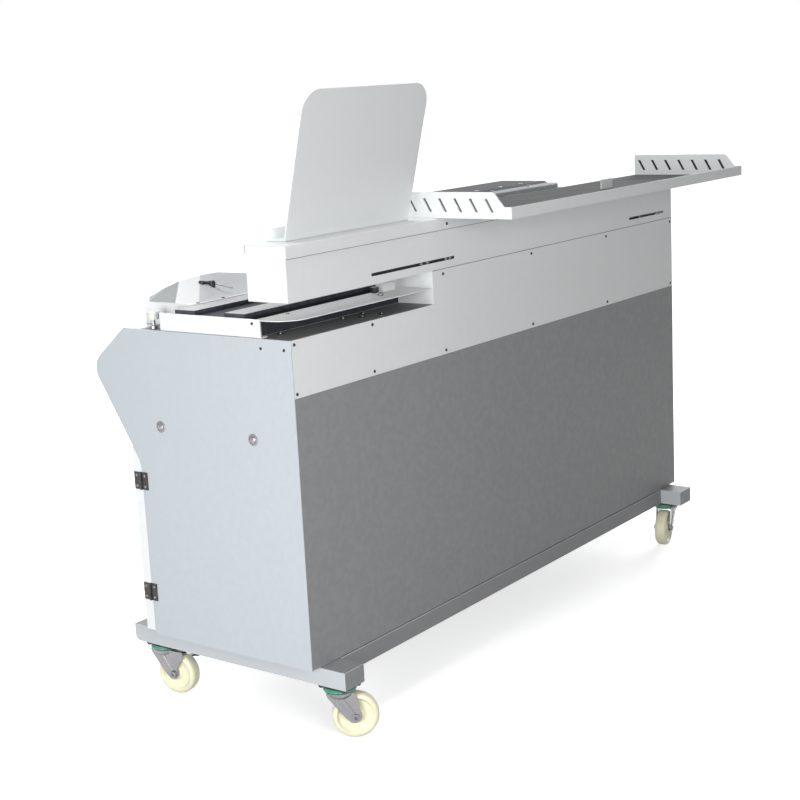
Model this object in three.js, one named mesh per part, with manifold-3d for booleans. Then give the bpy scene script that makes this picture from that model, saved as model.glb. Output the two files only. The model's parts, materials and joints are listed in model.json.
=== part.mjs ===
// Floor-standing hot-melt book binding machine, millimetres, +Z up.
// The operator stands on the -Y side. The nipping station is at the +X end.

import * as THREE from 'three';
import { mergeVertices } from 'three/addons/utils/BufferGeometryUtils.js';
import { ConvexGeometry } from 'three/addons/geometries/ConvexGeometry.js';
import Module from 'manifold-3d';

const wasm = await Module();
wasm.setup();

// Sizes shared by the whole machine

const seat = 0.3;
const overrun = 5;
const sheet = 2;
const bendRadius = 3;
const lap = 5;
const roundSegments = 28;
const smallSegments = 20;
const discSteps = 8;
const hexSteps = 3;
const arcSteps = 3;
const cornerSteps = 7;
const mergeReach = 1e-4;

const bodyLength = 1666;
const bodyDepth = 457;
const deckRise = 700;
const upperPanelHeight = 119.3;
const seamHeight = 75;
const housingHeight = 115;
const notchLength = 494;

const base = {
  height: 40,
  crossWidth: 65,
  railWidth: 40,
  wall: 3,
  endInset: 28,
  railReach: 3,
  panelGap: 2.5,
  rearReach: 64,
  frontReach: 98,
  drainRadius: 8,
  toeRadius: 14,
};

const caster = {
  plateLength: 74,
  plateWidth: 60,
  plateThickness: 4,
  raceRadius: 36,
  raceHeight: 8.5,
  crownRadius: 33,
  crownHeight: 4,
  trail: 30,
  wheelRadius: 50,
  wheelWidth: 32,
  treadShoulder: 8,
  hubRadius: 16,
  hubStep: 3,
  rimRadius: 38,
  webInset: 5,
  legThickness: 3,
  legGap: 3,
  legTopHalf: 30,
  legEndRadius: 13,
  axleRadius: 5,
  axleGap: 0.3,
  nutRadius: 8.5,
  nutHeight: 5,
  wheelGap: 3.9,
  rearOut: 22,
  farRearOut: 3,
  frontOut: 32,
};

const forkHeight = 2 * caster.wheelRadius + caster.wheelGap + caster.crownHeight;
const casterHeight = forkHeight + caster.raceHeight + caster.plateThickness + 2 * seat;
const bottomZ = casterHeight + base.height;
const deckZ = bottomZ + deckRise;
const seamZ = deckZ + seamHeight;
const housingTopZ = seamZ + housingHeight;
const endX = bodyLength / 2;
const rearY = bodyDepth / 2;
const frontY = -bodyDepth / 2;

// Places along the machine are counted from either end, across it from the rear plane

const fromNip = (distance) => endX - distance;
const fromLoad = (distance) => distance - endX;
const fromRear = (distance) => rearY - distance;

const front = {
  noseReach: 130,
  noseDrop: 88,
  noseRadius: 40,
  kneeReach: 27,
  kneeDrop: 258,
  cornerDrop: 301,
  cornerRadius: 60,
  topReach: 21,
  lipDepth: 49,
  controlsDrop: 48,
};

const door = {
  thickness: 25,
  floorGap: 10,
  cornerLap: 36,
  sideGap: 0.5,
  middleGap: 3,
  wall: 1.5,
};

const hinge = {
  size: 40,
  leaf: 2,
  pinRadius: 3,
  pinStandOff: 3.5,
  frontShift: 3,
  lowRise: 102,
  highDrop: 76,
  leafGap: 0.8,
};

const nip = {
  length: 460,
  endGap: 3,
  gapNear: 181,
  gapWidth: 83,
  plateWidth: 57,
  plateThickness: 9,
  plateRise: 38,
  tableThickness: 9.7,
  tableMargin: 2,
  postRadius: 11,
  postDrop: 90,
  postGap: 1,
  driveDrop: 100,
  driveDepth: 84,
  driveOverhang: 36,
};

const postShares = [0.25, 0.75];

const nipEnd = {
  lip: 1,
  near: 79,
  knobGap: 34,
  foot: 22,
};

const tray = {
  plateDrop: 1,
  thickness: 2,
  plateGap: 26,
  rearInset: 3,
  endInset: 4,
  cornerRadius: 60,
};

const hood = {
  start: 63,
  length: 367,
  plateGap: 5,
  frontReach: 13,
  wallRise: 48,
  rim: 7,
  endRim: 7,
  cornerCut: 25,
  farLift: 9,
  ridgeInset: 40,
  ridgeHeight: 42,
  skin: 2,
};

const ridgeShares = [
  { along: 0.074, rise: 0.69 },
  { along: 0.321, rise: 1 },
  { along: 0.526, rise: 0.976 },
  { along: 0.919, rise: 0.381 },
];

const knob = {
  along: 15,
  offset: 1,
  radius: 13.5,
  height: 17,
  rise: 21,
  stemRadius: 4,
  footRadius: 8,
  footHeight: 8,
  edge: 1,
};

const housing = {
  depth: 105,
  shaftHole: 8,
  wallDepth: 130,
};

const slot = {
  nipInset: 273,
  nipLength: 312,
  loadInset: 46,
  loadLength: 203,
  rise: 21,
  height: 7,
};

const cover = {
  standOff: 2.3,
  frontReach: 2,
  rearFlange: 27,
  frontFlange: 19,
};

const backPlate = {
  start: 56,
  length: 421,
  across: 50,
  height: 307,
  thickness: 2.5,
  radius: 48,
  leanDegrees: 14.4,
};

const bracket = {
  depth: 46,
  height: 25,
  endReach: 1.5,
};

const table = {
  start: 522,
  overhang: 36,
  rearReach: 197,
  lip: 26,
  side: 58,
  sideSheet: 4,
  sideCorner: 14,
  lipRun: 20,
  slantRun: 26,
  slotPitch: 41,
  slotMargin: 10,
  slotWidth: 8,
  slotHeight: 30,
  slotLean: 17,
  slotFloor: 14,
  slotFirst: 50,
};

const rail = {
  across: 91.5,
  width: 23,
  height: 22,
  footWidth: 15,
};

const belt = {
  across: 40,
  rise: 5.7,
  width: 10,
  thickness: 2,
  pulleyRadius: 18,
  flangeRadius: 21,
  flangeThickness: 1.5,
  hubGap: 1,
  shaftRadius: 5,
  idlerInset: 40,
  driveInset: 66,
};

const motor = {
  side: 70,
  topGap: 15,
  bossRadius: 12,
  bossHeight: 4,
};

const carriage = {
  loadInset: 366,
  length: 460,
  jawThickness: 22,
  jawHeight: 106,
  coverGap: 3.4,
  endPlate: 8,
  frontHeight: 80,
  frontBeam: 12,
  frontReach: 17,
  blockLength: 220,
  blockWidth: 43,
  blockLap: 15.6,
  blockRoof: 30.4,
  armHeight: 18,
  railGap: 0.3,
  tabLength: 60,
  tabGap: 0.3,
  slideGap: 3,
  jawClear: 1,
};

const jawRod = {
  radius: 8,
  length: 118,
  drop: 30,
  bore: 0.3,
};

const actuator = {
  width: 60,
  height: 58,
  topGap: 2,
  jawGap: 24,
  boreDepth: 140,
};

const jawCover = {
  jawGap: 1,
  stepRun: 34,
  slantRun: 9,
  frontReach: 20,
  lidDrop: 1,
  stepDrop: 5,
  hem: 5,
  jawDrop: 12,
  skirt: 70,
};

const cutter = {
  along: 950,
  radius: 75,
  discRise: 30,
  discHeight: 14,
  hubRadius: 22,
  hubDrop: 12,
  shaftRadius: 12,
  holeRadius: 30,
  toothDepth: 10,
  toothCount: 4,
};

const cutterMotor = {
  flangeRadius: 70,
  flangeHeight: 7,
  bodyRadius: 55,
  bodyHeight: 150,
  cowlRadius: 58,
  cowlHeight: 26,
};

const glue = {
  start: 580,
  length: 240,
  near: 150,
  width: 144,
  drop: 60,
  rise: 35,
  wall: 4,
  flange: 12,
  flangeHeight: 3,
  rollerRadius: 28,
  rollerRise: 19,
  rollerEnd: 6,
  shaftRadius: 6,
  shaftGap: 0.3,
  firstRoller: 70,
  secondRoller: 170,
  shaftReach: 10,
  driveReach: 34,
  holeGap: 2,
};

const glueMotor = {
  width: 60,
  depth: 70,
  height: 44,
};

const panelControls = {
  screenAlong: 760,
  screenWidth: 190,
  screenHeight: 80,
  screenDepth: 8,
  screenRadius: 6,
  startAlong: 590,
  stopAlong: 520,
  buttonRadius: 11,
  buttonHeight: 6,
  buttonTravel: 3,
  mushroomRadius: 19,
  mushroomHeight: 14,
  mushroomTravel: 5,
  edge: 1,
  stemRadius: 8,
  stemGap: 0.5,
  stemDepth: 14,
};

const inlet = {
  across: 120,
  rise: 110,
  flangeWidth: 60,
  flangeHeight: 36,
  flangeDepth: 3,
  bodyWidth: 46,
  bodyHeight: 26,
  bodyDepth: 30,
  socketWidth: 30,
  socketHeight: 18,
  socketDepth: 18,
  gap: 0.3,
  radius: 3,
};

const pedal = {
  width: 34,
  thickness: 3,
  reach: 50,
  drop: 4.4,
  pivotRadius: 3.5,
  start: 52,
  tipRise: 5,
  earMargin: 6,
};

const casterPlaces = [
  { name: 'rear_nip_caster', end: 1, y: rearY + caster.rearOut, yaw: 130, brake: false },
  { name: 'front_nip_caster', end: 1, y: frontY - caster.frontOut, yaw: 98, brake: true },
  { name: 'rear_load_caster', end: -1, y: rearY + caster.farRearOut, yaw: 12, brake: false },
  { name: 'front_load_caster', end: -1, y: frontY - caster.frontOut, yaw: 60, brake: true },
];

// Materials

const finish = (color, roughness, metalness) =>
  new THREE.MeshStandardMaterial({ color, roughness, metalness });

const materials = {
  lightPaint: finish('#ccd3d7', 0.45, 0.1),
  whitePaint: finish('#e9ecec', 0.4, 0.1),
  greyPaint: finish('#7d8083', 0.45, 0.15),
  framePaint: finish('#9aa0a4', 0.5, 0.15),
  darkSteel: finish('#3b4047', 0.4, 0.7),
  steel: finish('#b9bdc0', 0.3, 0.9),
  zinc: finish('#c9ccd2', 0.3, 0.9),
  aluminium: finish('#c6c8ca', 0.35, 0.85),
  castIron: finish('#55585c', 0.6, 0.6),
  motorPaint: finish('#4a5560', 0.55, 0.3),
  blackPlastic: finish('#18191b', 0.5, 0),
  nylon: finish('#f1ecc4', 0.5, 0),
  rubber: finish('#1f1f20', 0.8, 0),
  ringGreen: finish('#3f9c78', 0.45, 0.1),
  glass: finish('#10151b', 0.1, 0),
  greenPlastic: finish('#2f9e4f', 0.4, 0),
  redPlastic: finish('#c8231c', 0.4, 0),
};

// Solids and outlines

const solidOf = (geometry) => {
  const shell = geometry.clone();
  shell.deleteAttribute('normal');
  shell.deleteAttribute('uv');
  const merged = mergeVertices(shell, mergeReach);
  const corners = Array.from(merged.index.array);
  const triangles = corners.flatMap((first, index) => {
    if (index % 3 !== 0) {
      return [];
    }
    const triangle = [first, corners[index + 1], corners[index + 2]];
    return new Set(triangle).size === 3 ? triangle : [];
  });
  const mesh = new wasm.Mesh({
    numProp: 3,
    vertProperties: new Float32Array(merged.attributes.position.array),
    triVerts: new Uint32Array(triangles),
  });
  return new wasm.Manifold(mesh);
};

const geometryOf = (solid) => {
  const mesh = solid.getMesh();
  const geometry = new THREE.BufferGeometry();
  geometry.setAttribute('position', new THREE.BufferAttribute(mesh.vertProperties, mesh.numProp));
  geometry.setIndex(new THREE.BufferAttribute(mesh.triVerts, 1));
  return geometry;
};

const join = (...geometries) =>
  geometryOf(geometries.map(solidOf).reduce((sum, solid) => sum.add(solid)));

const cut = (body, ...tools) =>
  geometryOf(tools.map(solidOf).reduce((rest, solid) => rest.subtract(solid), solidOf(body)));

// A box from its low corner to its high corner

const block = (low, high) => {
  const size = high.map((value, axis) => value - low[axis]);
  const geometry = new THREE.BoxGeometry(...size);
  return geometry.translate(...low.map((value, axis) => value + size[axis] / 2));
};

// A shape through corners [u, v, radius], each rounded by its own arc

const outline = (corners) => {
  const shape = new THREE.Shape();
  corners.forEach(([u, v, radius = 0], index) => {
    const point = new THREE.Vector2(u, v);
    const before = corners[(index + corners.length - 1) % corners.length];
    const after = corners[(index + 1) % corners.length];
    const back = new THREE.Vector2(before[0], before[1]).sub(point).normalize();
    const ahead = new THREE.Vector2(after[0], after[1]).sub(point).normalize();
    const place = index === 0 ? 'moveTo' : 'lineTo';
    if (radius === 0) {
      shape[place](u, v);
      return;
    }
    const half = Math.acos(THREE.MathUtils.clamp(back.dot(ahead), -1, 1)) / 2;
    const reach = radius / Math.tan(half);
    const centre = back.clone().add(ahead).normalize().multiplyScalar(radius / Math.sin(half)).add(point);
    const from = back.clone().multiplyScalar(reach).add(point);
    const to = ahead.clone().multiplyScalar(reach).add(point);
    shape[place](from.x, from.y);
    const startAngle = from.clone().sub(centre).angle();
    const endAngle = to.clone().sub(centre).angle();
    const clockwise = back.cross(ahead) > 0;
    shape.absarc(centre.x, centre.y, radius, startAngle, endAngle, clockwise);
  });
  shape.closePath();
  return shape;
};

const rectangle = (width, height, radius = 0) => outline([
  [-width / 2, -height / 2, radius],
  [width / 2, -height / 2, radius],
  [width / 2, height / 2, radius],
  [-width / 2, height / 2, radius],
]);

const disc = (radius) => {
  const shape = new THREE.Shape();
  shape.absarc(0, 0, radius, 0, 2 * Math.PI);
  return shape;
};

// The closed outline of a bent sheet, from the corners of its outer face;
// the thickness goes to the left of the path, and a bend may name its own radius

const bentSheet = (points, thickness, radius) => {
  const vectors = points.map(([u, v]) => new THREE.Vector2(u, v));
  const normals = vectors.slice(1).map((point, index) => {
    const along = point.clone().sub(vectors[index]).normalize();
    return new THREE.Vector2(-along.y, along.x);
  });
  const inner = vectors.map((point, index) => {
    const first = normals[Math.max(index - 1, 0)];
    const second = normals[Math.min(index, normals.length - 1)];
    const middle = first.clone().add(second).normalize();
    return middle.multiplyScalar(thickness / middle.dot(first)).add(point);
  });
  const last = vectors.length - 1;
  const turnsLeft = (index) => index > 0 && index < last && normals[index - 1].cross(normals[index]) > 0;
  const bends = (index) => (index > 0 && index < last ? points[index][2] ?? radius : 0);
  const outerRadius = (index) => (bends(index) === 0 ? 0 : bends(index) - (turnsLeft(index) ? 0 : thickness));
  const innerRadius = (index) => (bends(index) === 0 ? 0 : bends(index) - (turnsLeft(index) ? thickness : 0));
  const there = vectors.map((point, index) => [point.x, point.y, outerRadius(index)]);
  const back = inner.map((point, index) => [point.x, point.y, innerRadius(index)]).reverse();
  return outline([...there, ...back]);
};

const extrude = (shape, depth, curveSegments = arcSteps) =>
  new THREE.ExtrudeGeometry(shape, { depth, bevelEnabled: false, curveSegments });

// Shapes drawn across the machine as (Y, Z), run along X

const alongX = (shape, from, to, curveSegments) => {
  const turn = new THREE.Matrix4().makeBasis(
    new THREE.Vector3(0, 1, 0),
    new THREE.Vector3(0, 0, 1),
    new THREE.Vector3(1, 0, 0),
  );
  return extrude(shape, to - from, curveSegments).applyMatrix4(turn).translate(from, 0, 0);
};

// Shapes drawn as (X, Z), run along Y

const alongY = (shape, from, to, curveSegments) => {
  const turn = new THREE.Matrix4().makeBasis(
    new THREE.Vector3(1, 0, 0),
    new THREE.Vector3(0, 0, 1),
    new THREE.Vector3(0, -1, 0),
  );
  return extrude(shape, to - from, curveSegments).applyMatrix4(turn).translate(0, to, 0);
};

// Shapes drawn as (X, Y), run along Z

const alongZ = (shape, from, to, curveSegments) =>
  extrude(shape, to - from, curveSegments).translate(0, 0, from);

const rodY = (radius, from, to) => alongY(disc(radius), from, to, discSteps);
const rodZ = (radius, from, to) => alongZ(disc(radius), from, to, discSteps);

// A turned piece from a closed profile of [radius, height], about +Z

const turned = (profile, segments = roundSegments) => {
  const points = [...profile, profile[0]].map(([radius, height]) => new THREE.Vector2(radius, height));
  return new THREE.LatheGeometry(points, segments).rotateX(Math.PI / 2);
};

const machine = new THREE.Group();

const add = (name, geometry, material, position = [0, 0, 0], parent = machine) => {
  const mesh = new THREE.Mesh(geometry, material);
  mesh.name = name;
  mesh.position.set(...position);
  parent.add(mesh);
  return mesh;
};

// Base frame and cabinet floor

const crossX = endX - base.endInset - base.crossWidth / 2;

const baseBeams = (wall) => {
  const half = base.crossWidth / 2;
  const cross = (side) => alongX(outline([
    [frontY - base.frontReach + wall, casterHeight + wall, base.toeRadius - wall],
    [rearY + base.rearReach - wall, casterHeight + wall],
    [rearY + base.rearReach - wall, bottomZ - wall],
    [frontY - base.frontReach + wall, bottomZ - wall],
  ]), side * crossX - half + wall, side * crossX + half - wall);
  const longBeam = (near) => block(
    [-crossX, near + wall, casterHeight + wall],
    [crossX, near + base.railWidth - wall, bottomZ - wall],
  );
  return [
    cross(-1),
    cross(1),
    longBeam(rearY + base.railReach - base.railWidth),
    longBeam(frontY - base.railReach),
  ];
};

const drains = [-1, 1].map((side) =>
  rodZ(base.drainRadius, casterHeight - overrun, casterHeight + base.wall + overrun)
    .translate(side * crossX, 0, 0));

add('base_frame', cut(join(...baseBeams(0)), join(...baseBeams(base.wall)), ...drains), materials.framePaint);

const panelGap = sheet + seat;

add('bottom_plate', block(
  [-endX + panelGap, frontY + seat, bottomZ + seat],
  [endX - panelGap, rearY - panelGap, bottomZ + seat + sheet],
), materials.framePaint);

// Cabinet shell: end panels, rear panels, deck and sloped console

const cornerZ = deckZ - front.cornerDrop;
const noseCorner = [frontY - front.noseReach, deckZ - front.noseDrop];
const kneeCorner = [frontY - front.kneeReach, deckZ - front.kneeDrop];
const consoleTop = [frontY - front.topReach, deckZ];

const endOutline = [
  [rearY, bottomZ],
  [frontY, bottomZ],
  [frontY, cornerZ, front.cornerRadius],
  [...noseCorner, front.noseRadius],
  [...consoleTop, bendRadius],
];

add('left_end_panel', alongX(outline([
  ...endOutline,
  [rearY, deckZ],
]), endX - sheet, endX, cornerSteps), materials.lightPaint);

add('right_end_panel', cut(alongX(outline([
  ...endOutline,
  [fromRear(housing.wallDepth), deckZ],
  [fromRear(housing.wallDepth), seamZ],
  [rearY, seamZ],
]), -endX, -endX + sheet, cornerSteps), block(
  [-endX - overrun, fromRear(inlet.across) - inlet.bodyWidth / 2 - inlet.gap,
    bottomZ + inlet.rise - inlet.bodyHeight / 2 - inlet.gap],
  [-endX + sheet + overrun, fromRear(inlet.across) + inlet.bodyWidth / 2 + inlet.gap,
    bottomZ + inlet.rise + inlet.bodyHeight / 2 + inlet.gap],
)), materials.lightPaint);

const insideX = endX - panelGap;
const lowerTopZ = deckZ - upperPanelHeight;

add('rear_lower_panel', block(
  [-insideX, rearY - sheet, bottomZ + base.panelGap],
  [insideX, rearY, lowerTopZ],
), materials.greyPaint);

const notchX = fromNip(notchLength);

add('rear_upper_panel', join(
  alongY(outline([
    [-insideX, lowerTopZ + seat],
    [insideX, lowerTopZ + seat],
    [insideX, deckZ],
    [notchX, deckZ],
    [notchX, seamZ],
    [-insideX, seamZ],
  ]), rearY - sheet, rearY),
  block([notchX - sheet, fromRear(housing.wallDepth), deckZ + seat], [notchX, rearY - sheet / 2, seamZ]),
), materials.whitePaint);

const consoleShape = bentSheet([
  [consoleTop[0] + front.lipDepth, deckZ],
  consoleTop,
  [...noseCorner, front.noseRadius],
  kneeCorner,
], sheet, bendRadius);

const slopeAngle = Math.atan2(consoleTop[1] - noseCorner[1], consoleTop[0] - noseCorner[0]);

// Parts on the console slope sit in this frame: X along the machine, Y up the slope, Z outward

const slope = new THREE.Group();
slope.position.set(
  0,
  consoleTop[0] - front.controlsDrop * Math.cos(slopeAngle),
  consoleTop[1] - front.controlsDrop * Math.sin(slopeAngle),
);
slope.rotation.x = slopeAngle;
machine.add(slope);

const onSlope = (geometry) => {
  slope.updateMatrix();
  return geometry.applyMatrix4(slope.matrix);
};

const stemHole = panelControls.stemRadius + panelControls.stemGap;

add('console_panel', cut(
  alongX(consoleShape, -insideX, insideX, cornerSteps),
  ...[panelControls.startAlong, panelControls.stopAlong].map((along) =>
    onSlope(rodZ(stemHole, -sheet - overrun, overrun).translate(fromNip(along), 0, 0))),
), materials.lightPaint);

const bookY = fromRear(nip.gapNear + nip.gapWidth / 2);
const deckFrontY = consoleTop[0] + front.lipDepth + seat;
const postX = postShares.map((share) => fromNip(share * nip.length));

add('deck_plate', cut(
  block([-insideX, deckFrontY, deckZ - sheet], [insideX, rearY - panelGap, deckZ]),
  rodZ(cutter.holeRadius, deckZ - overrun, deckZ + overrun).translate(fromNip(cutter.along), bookY, 0),
  ...postX.map((x) => rodZ(nip.postRadius + nip.postGap, deckZ - overrun, deckZ + overrun)
    .translate(x, bookY, 0)),
  block(
    [
      fromNip(glue.start + glue.length + glue.holeGap),
      fromRear(glue.near + glue.width + glue.holeGap),
      deckZ - overrun,
    ],
    [fromNip(glue.start - glue.holeGap), fromRear(glue.near - glue.holeGap), deckZ + overrun],
  ),
), materials.framePaint);

// Front doors, each a tray turned inward, with its hinge leaves at the outer end

const pivotX = endX + hinge.pinStandOff;
const pivotY = frontY - hinge.frontShift;
const doorLowZ = bottomZ + door.floorGap;
const doorTopZ = cornerZ + door.cornerLap;
const hingeSpots = [
  { level: 'lower', z: bottomZ + hinge.lowRise },
  { level: 'upper', z: doorTopZ - hinge.highDrop },
];

// The flared edge of the end panels leans out at this rate; the door top follows it

const flareRate = front.noseReach / (front.cornerDrop - front.noseDrop);
const flareStretch = Math.hypot(1, flareRate);
const flareY = (z, gap) => frontY - flareRate * (z - cornerZ) - gap * flareStretch;
const flareZ = (reach, gap) => cornerZ + (reach - gap * flareStretch) / flareRate;

const addDoor = (name, side) => {
  const outerX = side * endX;
  const innerX = side * door.middleGap / 2;
  const low = Math.min(outerX, innerX);
  const high = Math.max(outerX, innerX);
  const farY = frontY - door.sideGap;
  const nearY = farY - door.thickness;
  const hollowGap = door.sideGap + door.wall;
  const hollowTop = doorTopZ - door.wall;
  const shell = alongX(outline([
    [nearY, doorLowZ],
    [farY, doorLowZ],
    [farY, flareZ(door.sideGap, door.sideGap), front.cornerRadius - door.sideGap],
    [flareY(doorTopZ, door.sideGap), doorTopZ],
    [nearY, doorTopZ],
  ]), low, high);
  const hollow = alongX(outline([
    [nearY + door.wall, doorLowZ + door.wall],
    [farY + overrun, doorLowZ + door.wall],
    [farY + overrun, flareZ(door.sideGap, hollowGap)],
    [farY, flareZ(door.sideGap, hollowGap)],
    [flareY(hollowTop, hollowGap), hollowTop],
    [nearY + door.wall, hollowTop],
  ]), low + door.wall, high - door.wall);
  const leaves = hingeSpots.map(({ z }) => {
    const leafEdge = pivotY - hinge.pinRadius - hinge.leafGap;
    const sides = [outerX - side * door.wall / 2, outerX + side * (hinge.leaf + seat)];
    return block(
      [Math.min(...sides), nearY + door.wall, z - hinge.size / 2],
      [Math.max(...sides), leafEdge, z + hinge.size / 2],
    );
  });
  add(name, join(cut(shell, hollow), ...leaves), materials.whitePaint);
};

addDoor('front_door_nip', 1);
addDoor('front_door_load', -1);

const addHinge = (side, { level, z }) => {
  const lowZ = z - hinge.size / 2;
  const highZ = z + hinge.size / 2;
  const sides = [side * (endX + seat), side * (endX + seat + hinge.leaf)];
  const leafEnd = pivotY + hinge.pinRadius / 2;
  const leaf = block(
    [Math.min(...sides), leafEnd, lowZ],
    [Math.max(...sides), pivotY + hinge.size / 2, highZ],
  );
  const knuckle = rodZ(hinge.pinRadius, lowZ, highZ).translate(side * pivotX, pivotY, 0);
  const end = side > 0 ? 'nip' : 'load';
  add(`hinge_${end}_${level}`, join(leaf, knuckle), materials.blackPlastic);
};

hingeSpots.forEach((spot) => {
  addHinge(1, spot);
  addHinge(-1, spot);
});

// Upper housing over the carriage track, and its lid

const housingFloorZ = seamZ + seat + sheet;
const housingFrontY = fromRear(housing.depth);
const housingWallTop = housingTopZ - sheet - seat;
const driveX = fromLoad(belt.driveInset);
const idlerX = fromNip(belt.idlerInset);
const beltY = fromRear(belt.across);
const beltZ = housingFloorZ + belt.rise;
const slotSpans = [
  { from: fromNip(slot.nipInset + slot.nipLength), length: slot.nipLength },
  { from: fromLoad(slot.loadInset), length: slot.loadLength },
];

const housingWall = (from, to) => block(
  [from, housingFrontY, seamZ + seat],
  [to, rearY, housingWallTop],
);

add('upper_housing', cut(
  join(
    block([-endX, housingFrontY, seamZ + seat], [endX, rearY, housingFloorZ]),
    block([-endX, rearY - sheet, seamZ + seat], [endX, rearY, housingWallTop]),
    housingWall(-endX, -endX + sheet),
    housingWall(endX - sheet, endX),
  ),
  ...slotSpans.map(({ from, length }) => alongY(
    rectangle(length, slot.height, slot.height / 2),
    rearY - sheet - overrun,
    rearY + overrun,
  ).translate(from + length / 2, 0, seamZ + slot.rise)),
  rodZ(housing.shaftHole, seamZ - overrun, housingFloorZ + overrun).translate(driveX, beltY, 0),
), materials.whitePaint);

add('housing_cover', alongX(bentSheet([
  [housingFrontY - cover.frontReach - sheet, housingTopZ - cover.frontFlange],
  [housingFrontY - cover.frontReach - sheet, housingTopZ],
  [rearY + cover.standOff, housingTopZ],
  [rearY + cover.standOff, housingTopZ - cover.rearFlange],
].reverse(), sheet, bendRadius), -endX, endX), materials.whitePaint);

// Book support plate with the upturned shelf at its foot

const backLean = THREE.MathUtils.degToRad(backPlate.leanDegrees);
const backMidX = fromNip(backPlate.start + backPlate.length / 2);
const backFootY = fromRear(backPlate.across);
const backFootZ = housingTopZ + seat + backPlate.thickness * Math.sin(backLean);
const bracketY = backFootY - seat;
const bracketLength = backPlate.length + 2 * bracket.endReach;

const backShape = outline([
  [-backPlate.length / 2, 0],
  [backPlate.length / 2, 0],
  [backPlate.length / 2, backPlate.height, backPlate.radius],
  [-backPlate.length / 2, backPlate.height, backPlate.radius],
]);

add(
  'book_support_plate',
  alongY(backShape, 0, backPlate.thickness, cornerSteps).rotateX(-backLean),
  materials.whitePaint,
  [backMidX, backFootY, backFootZ],
);

add('support_bracket', alongX(bentSheet([
  [bracketY - bracket.depth, housingTopZ + seat + bracket.height],
  [bracketY - bracket.depth, housingTopZ + seat],
  [bracketY, housingTopZ + seat],
], sheet, bendRadius), -bracketLength / 2, bracketLength / 2), materials.whitePaint, [backMidX, 0, 0]);

// Cover table: a tray with a rear lip and two slotted sides

const tableFloorZ = housingTopZ + seat;
const tableRearY = rearY + table.rearReach;
const tableFrontY = fromRear(housing.wallDepth);
const tableSideTop = tableFloorZ + table.side;
const tableLowX = -endX - table.overhang;
const tableHighX = fromNip(table.start);
const tableSlotRun = tableRearY - tableFrontY - table.slotFirst - table.slotLean - table.slotMargin;
const tableSlotCount = 1 + Math.floor(tableSlotRun / table.slotPitch);

const sideShape = outline([
  [tableFrontY, tableFloorZ],
  [tableRearY, tableFloorZ],
  [tableRearY, tableFloorZ + table.lip],
  [tableRearY - table.lipRun, tableFloorZ + table.lip],
  [tableRearY - table.lipRun - table.slantRun, tableSideTop, table.sideCorner],
  [tableFrontY, tableSideTop, bendRadius],
]);

const tableSlot = (index) => {
  const low = tableRearY - table.slotFirst - index * table.slotPitch;
  const floor = tableFloorZ + table.slotFloor;
  const half = table.slotWidth / 2;
  return alongX(outline([
    [low - half, floor],
    [low + half, floor],
    [low + half - table.slotLean, floor + table.slotHeight],
    [low - half - table.slotLean, floor + table.slotHeight],
  ]), tableLowX - overrun, tableHighX + overrun);
};

add('cover_table', cut(
  join(
    block([tableLowX, tableFrontY, tableFloorZ], [tableHighX, tableRearY, tableFloorZ + sheet]),
    block([tableLowX, tableRearY - sheet, tableFloorZ], [tableHighX, tableRearY, tableFloorZ + table.lip]),
    alongX(sideShape, tableLowX, tableLowX + table.sideSheet),
    alongX(sideShape, tableHighX - table.sideSheet, tableHighX),
  ),
  ...Array.from({ length: tableSlotCount }, (_, index) => tableSlot(index)),
), materials.whitePaint);

// Nipping station: end plate, lifting table with two press plates, lift drive

const plateZ = deckZ + nip.plateRise;
const hoodNear = nip.gapNear + nip.gapWidth + nip.plateWidth + hood.plateGap;
const hoodFar = bodyDepth + hood.frontReach;
const knobAcross = (hoodNear + hoodFar) / 2 - knob.offset;

add('nip_end_plate', alongY(bentSheet([
  [endX - nipEnd.foot, deckZ + seat],
  [endX, deckZ + seat],
  [endX, plateZ + nipEnd.lip],
], sheet, bendRadius), fromRear(knobAcross - nipEnd.knobGap), fromRear(nipEnd.near)), materials.whitePaint);

const nipTableTop = plateZ - seat;
const nipLowX = fromNip(nip.length + nip.endGap + tray.endInset);
const nipHighX = endX - sheet - nip.endGap;
const frontPlateY = fromRear(nip.gapNear + nip.gapWidth);
const rearPlateY = fromRear(nip.gapNear);

add('nip_table', join(
  block(
    [nipLowX, frontPlateY - nip.plateWidth - nip.tableMargin, nipTableTop - nip.tableThickness],
    [nipHighX, rearPlateY + nip.plateWidth + nip.tableMargin, nipTableTop],
  ),
  ...postX.map((x) => rodZ(nip.postRadius, deckZ - nip.postDrop, nipTableTop - nip.tableThickness / 2)
    .translate(x, bookY, 0)),
), materials.aluminium);

add('front_press_plate', block(
  [nipLowX, frontPlateY - nip.plateWidth, plateZ],
  [nipHighX, frontPlateY, plateZ + nip.plateThickness],
), materials.darkSteel);

add('rear_press_plate', block(
  [nipLowX, rearPlateY, plateZ],
  [nipHighX, rearPlateY + nip.plateWidth, plateZ + nip.plateThickness],
), materials.darkSteel);

add('nip_lift_drive', cut(
  block(
    [postX[1] - nip.driveOverhang, bookY - nip.driveDepth / 2, deckZ - nip.driveDrop],
    [postX[0] + nip.driveOverhang, bookY + nip.driveDepth / 2, deckZ - sheet - seat],
  ),
  ...postX.map((x) => rodZ(nip.postRadius + seat, deckZ - nip.driveDrop - overrun, deckZ + overrun)
    .translate(x, bookY, 0)),
), materials.aluminium);

// Rear cover tray in the notch: a rounded shelf with a web down to the deck

const trayTop = plateZ - tray.plateDrop;
const trayLowX = notchX + seat + tray.thickness;
const trayHighX = endX - tray.endInset;
const trayRearY = rearY - tray.rearInset;
const trayFrontY = rearPlateY + nip.plateWidth + tray.plateGap;

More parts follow.
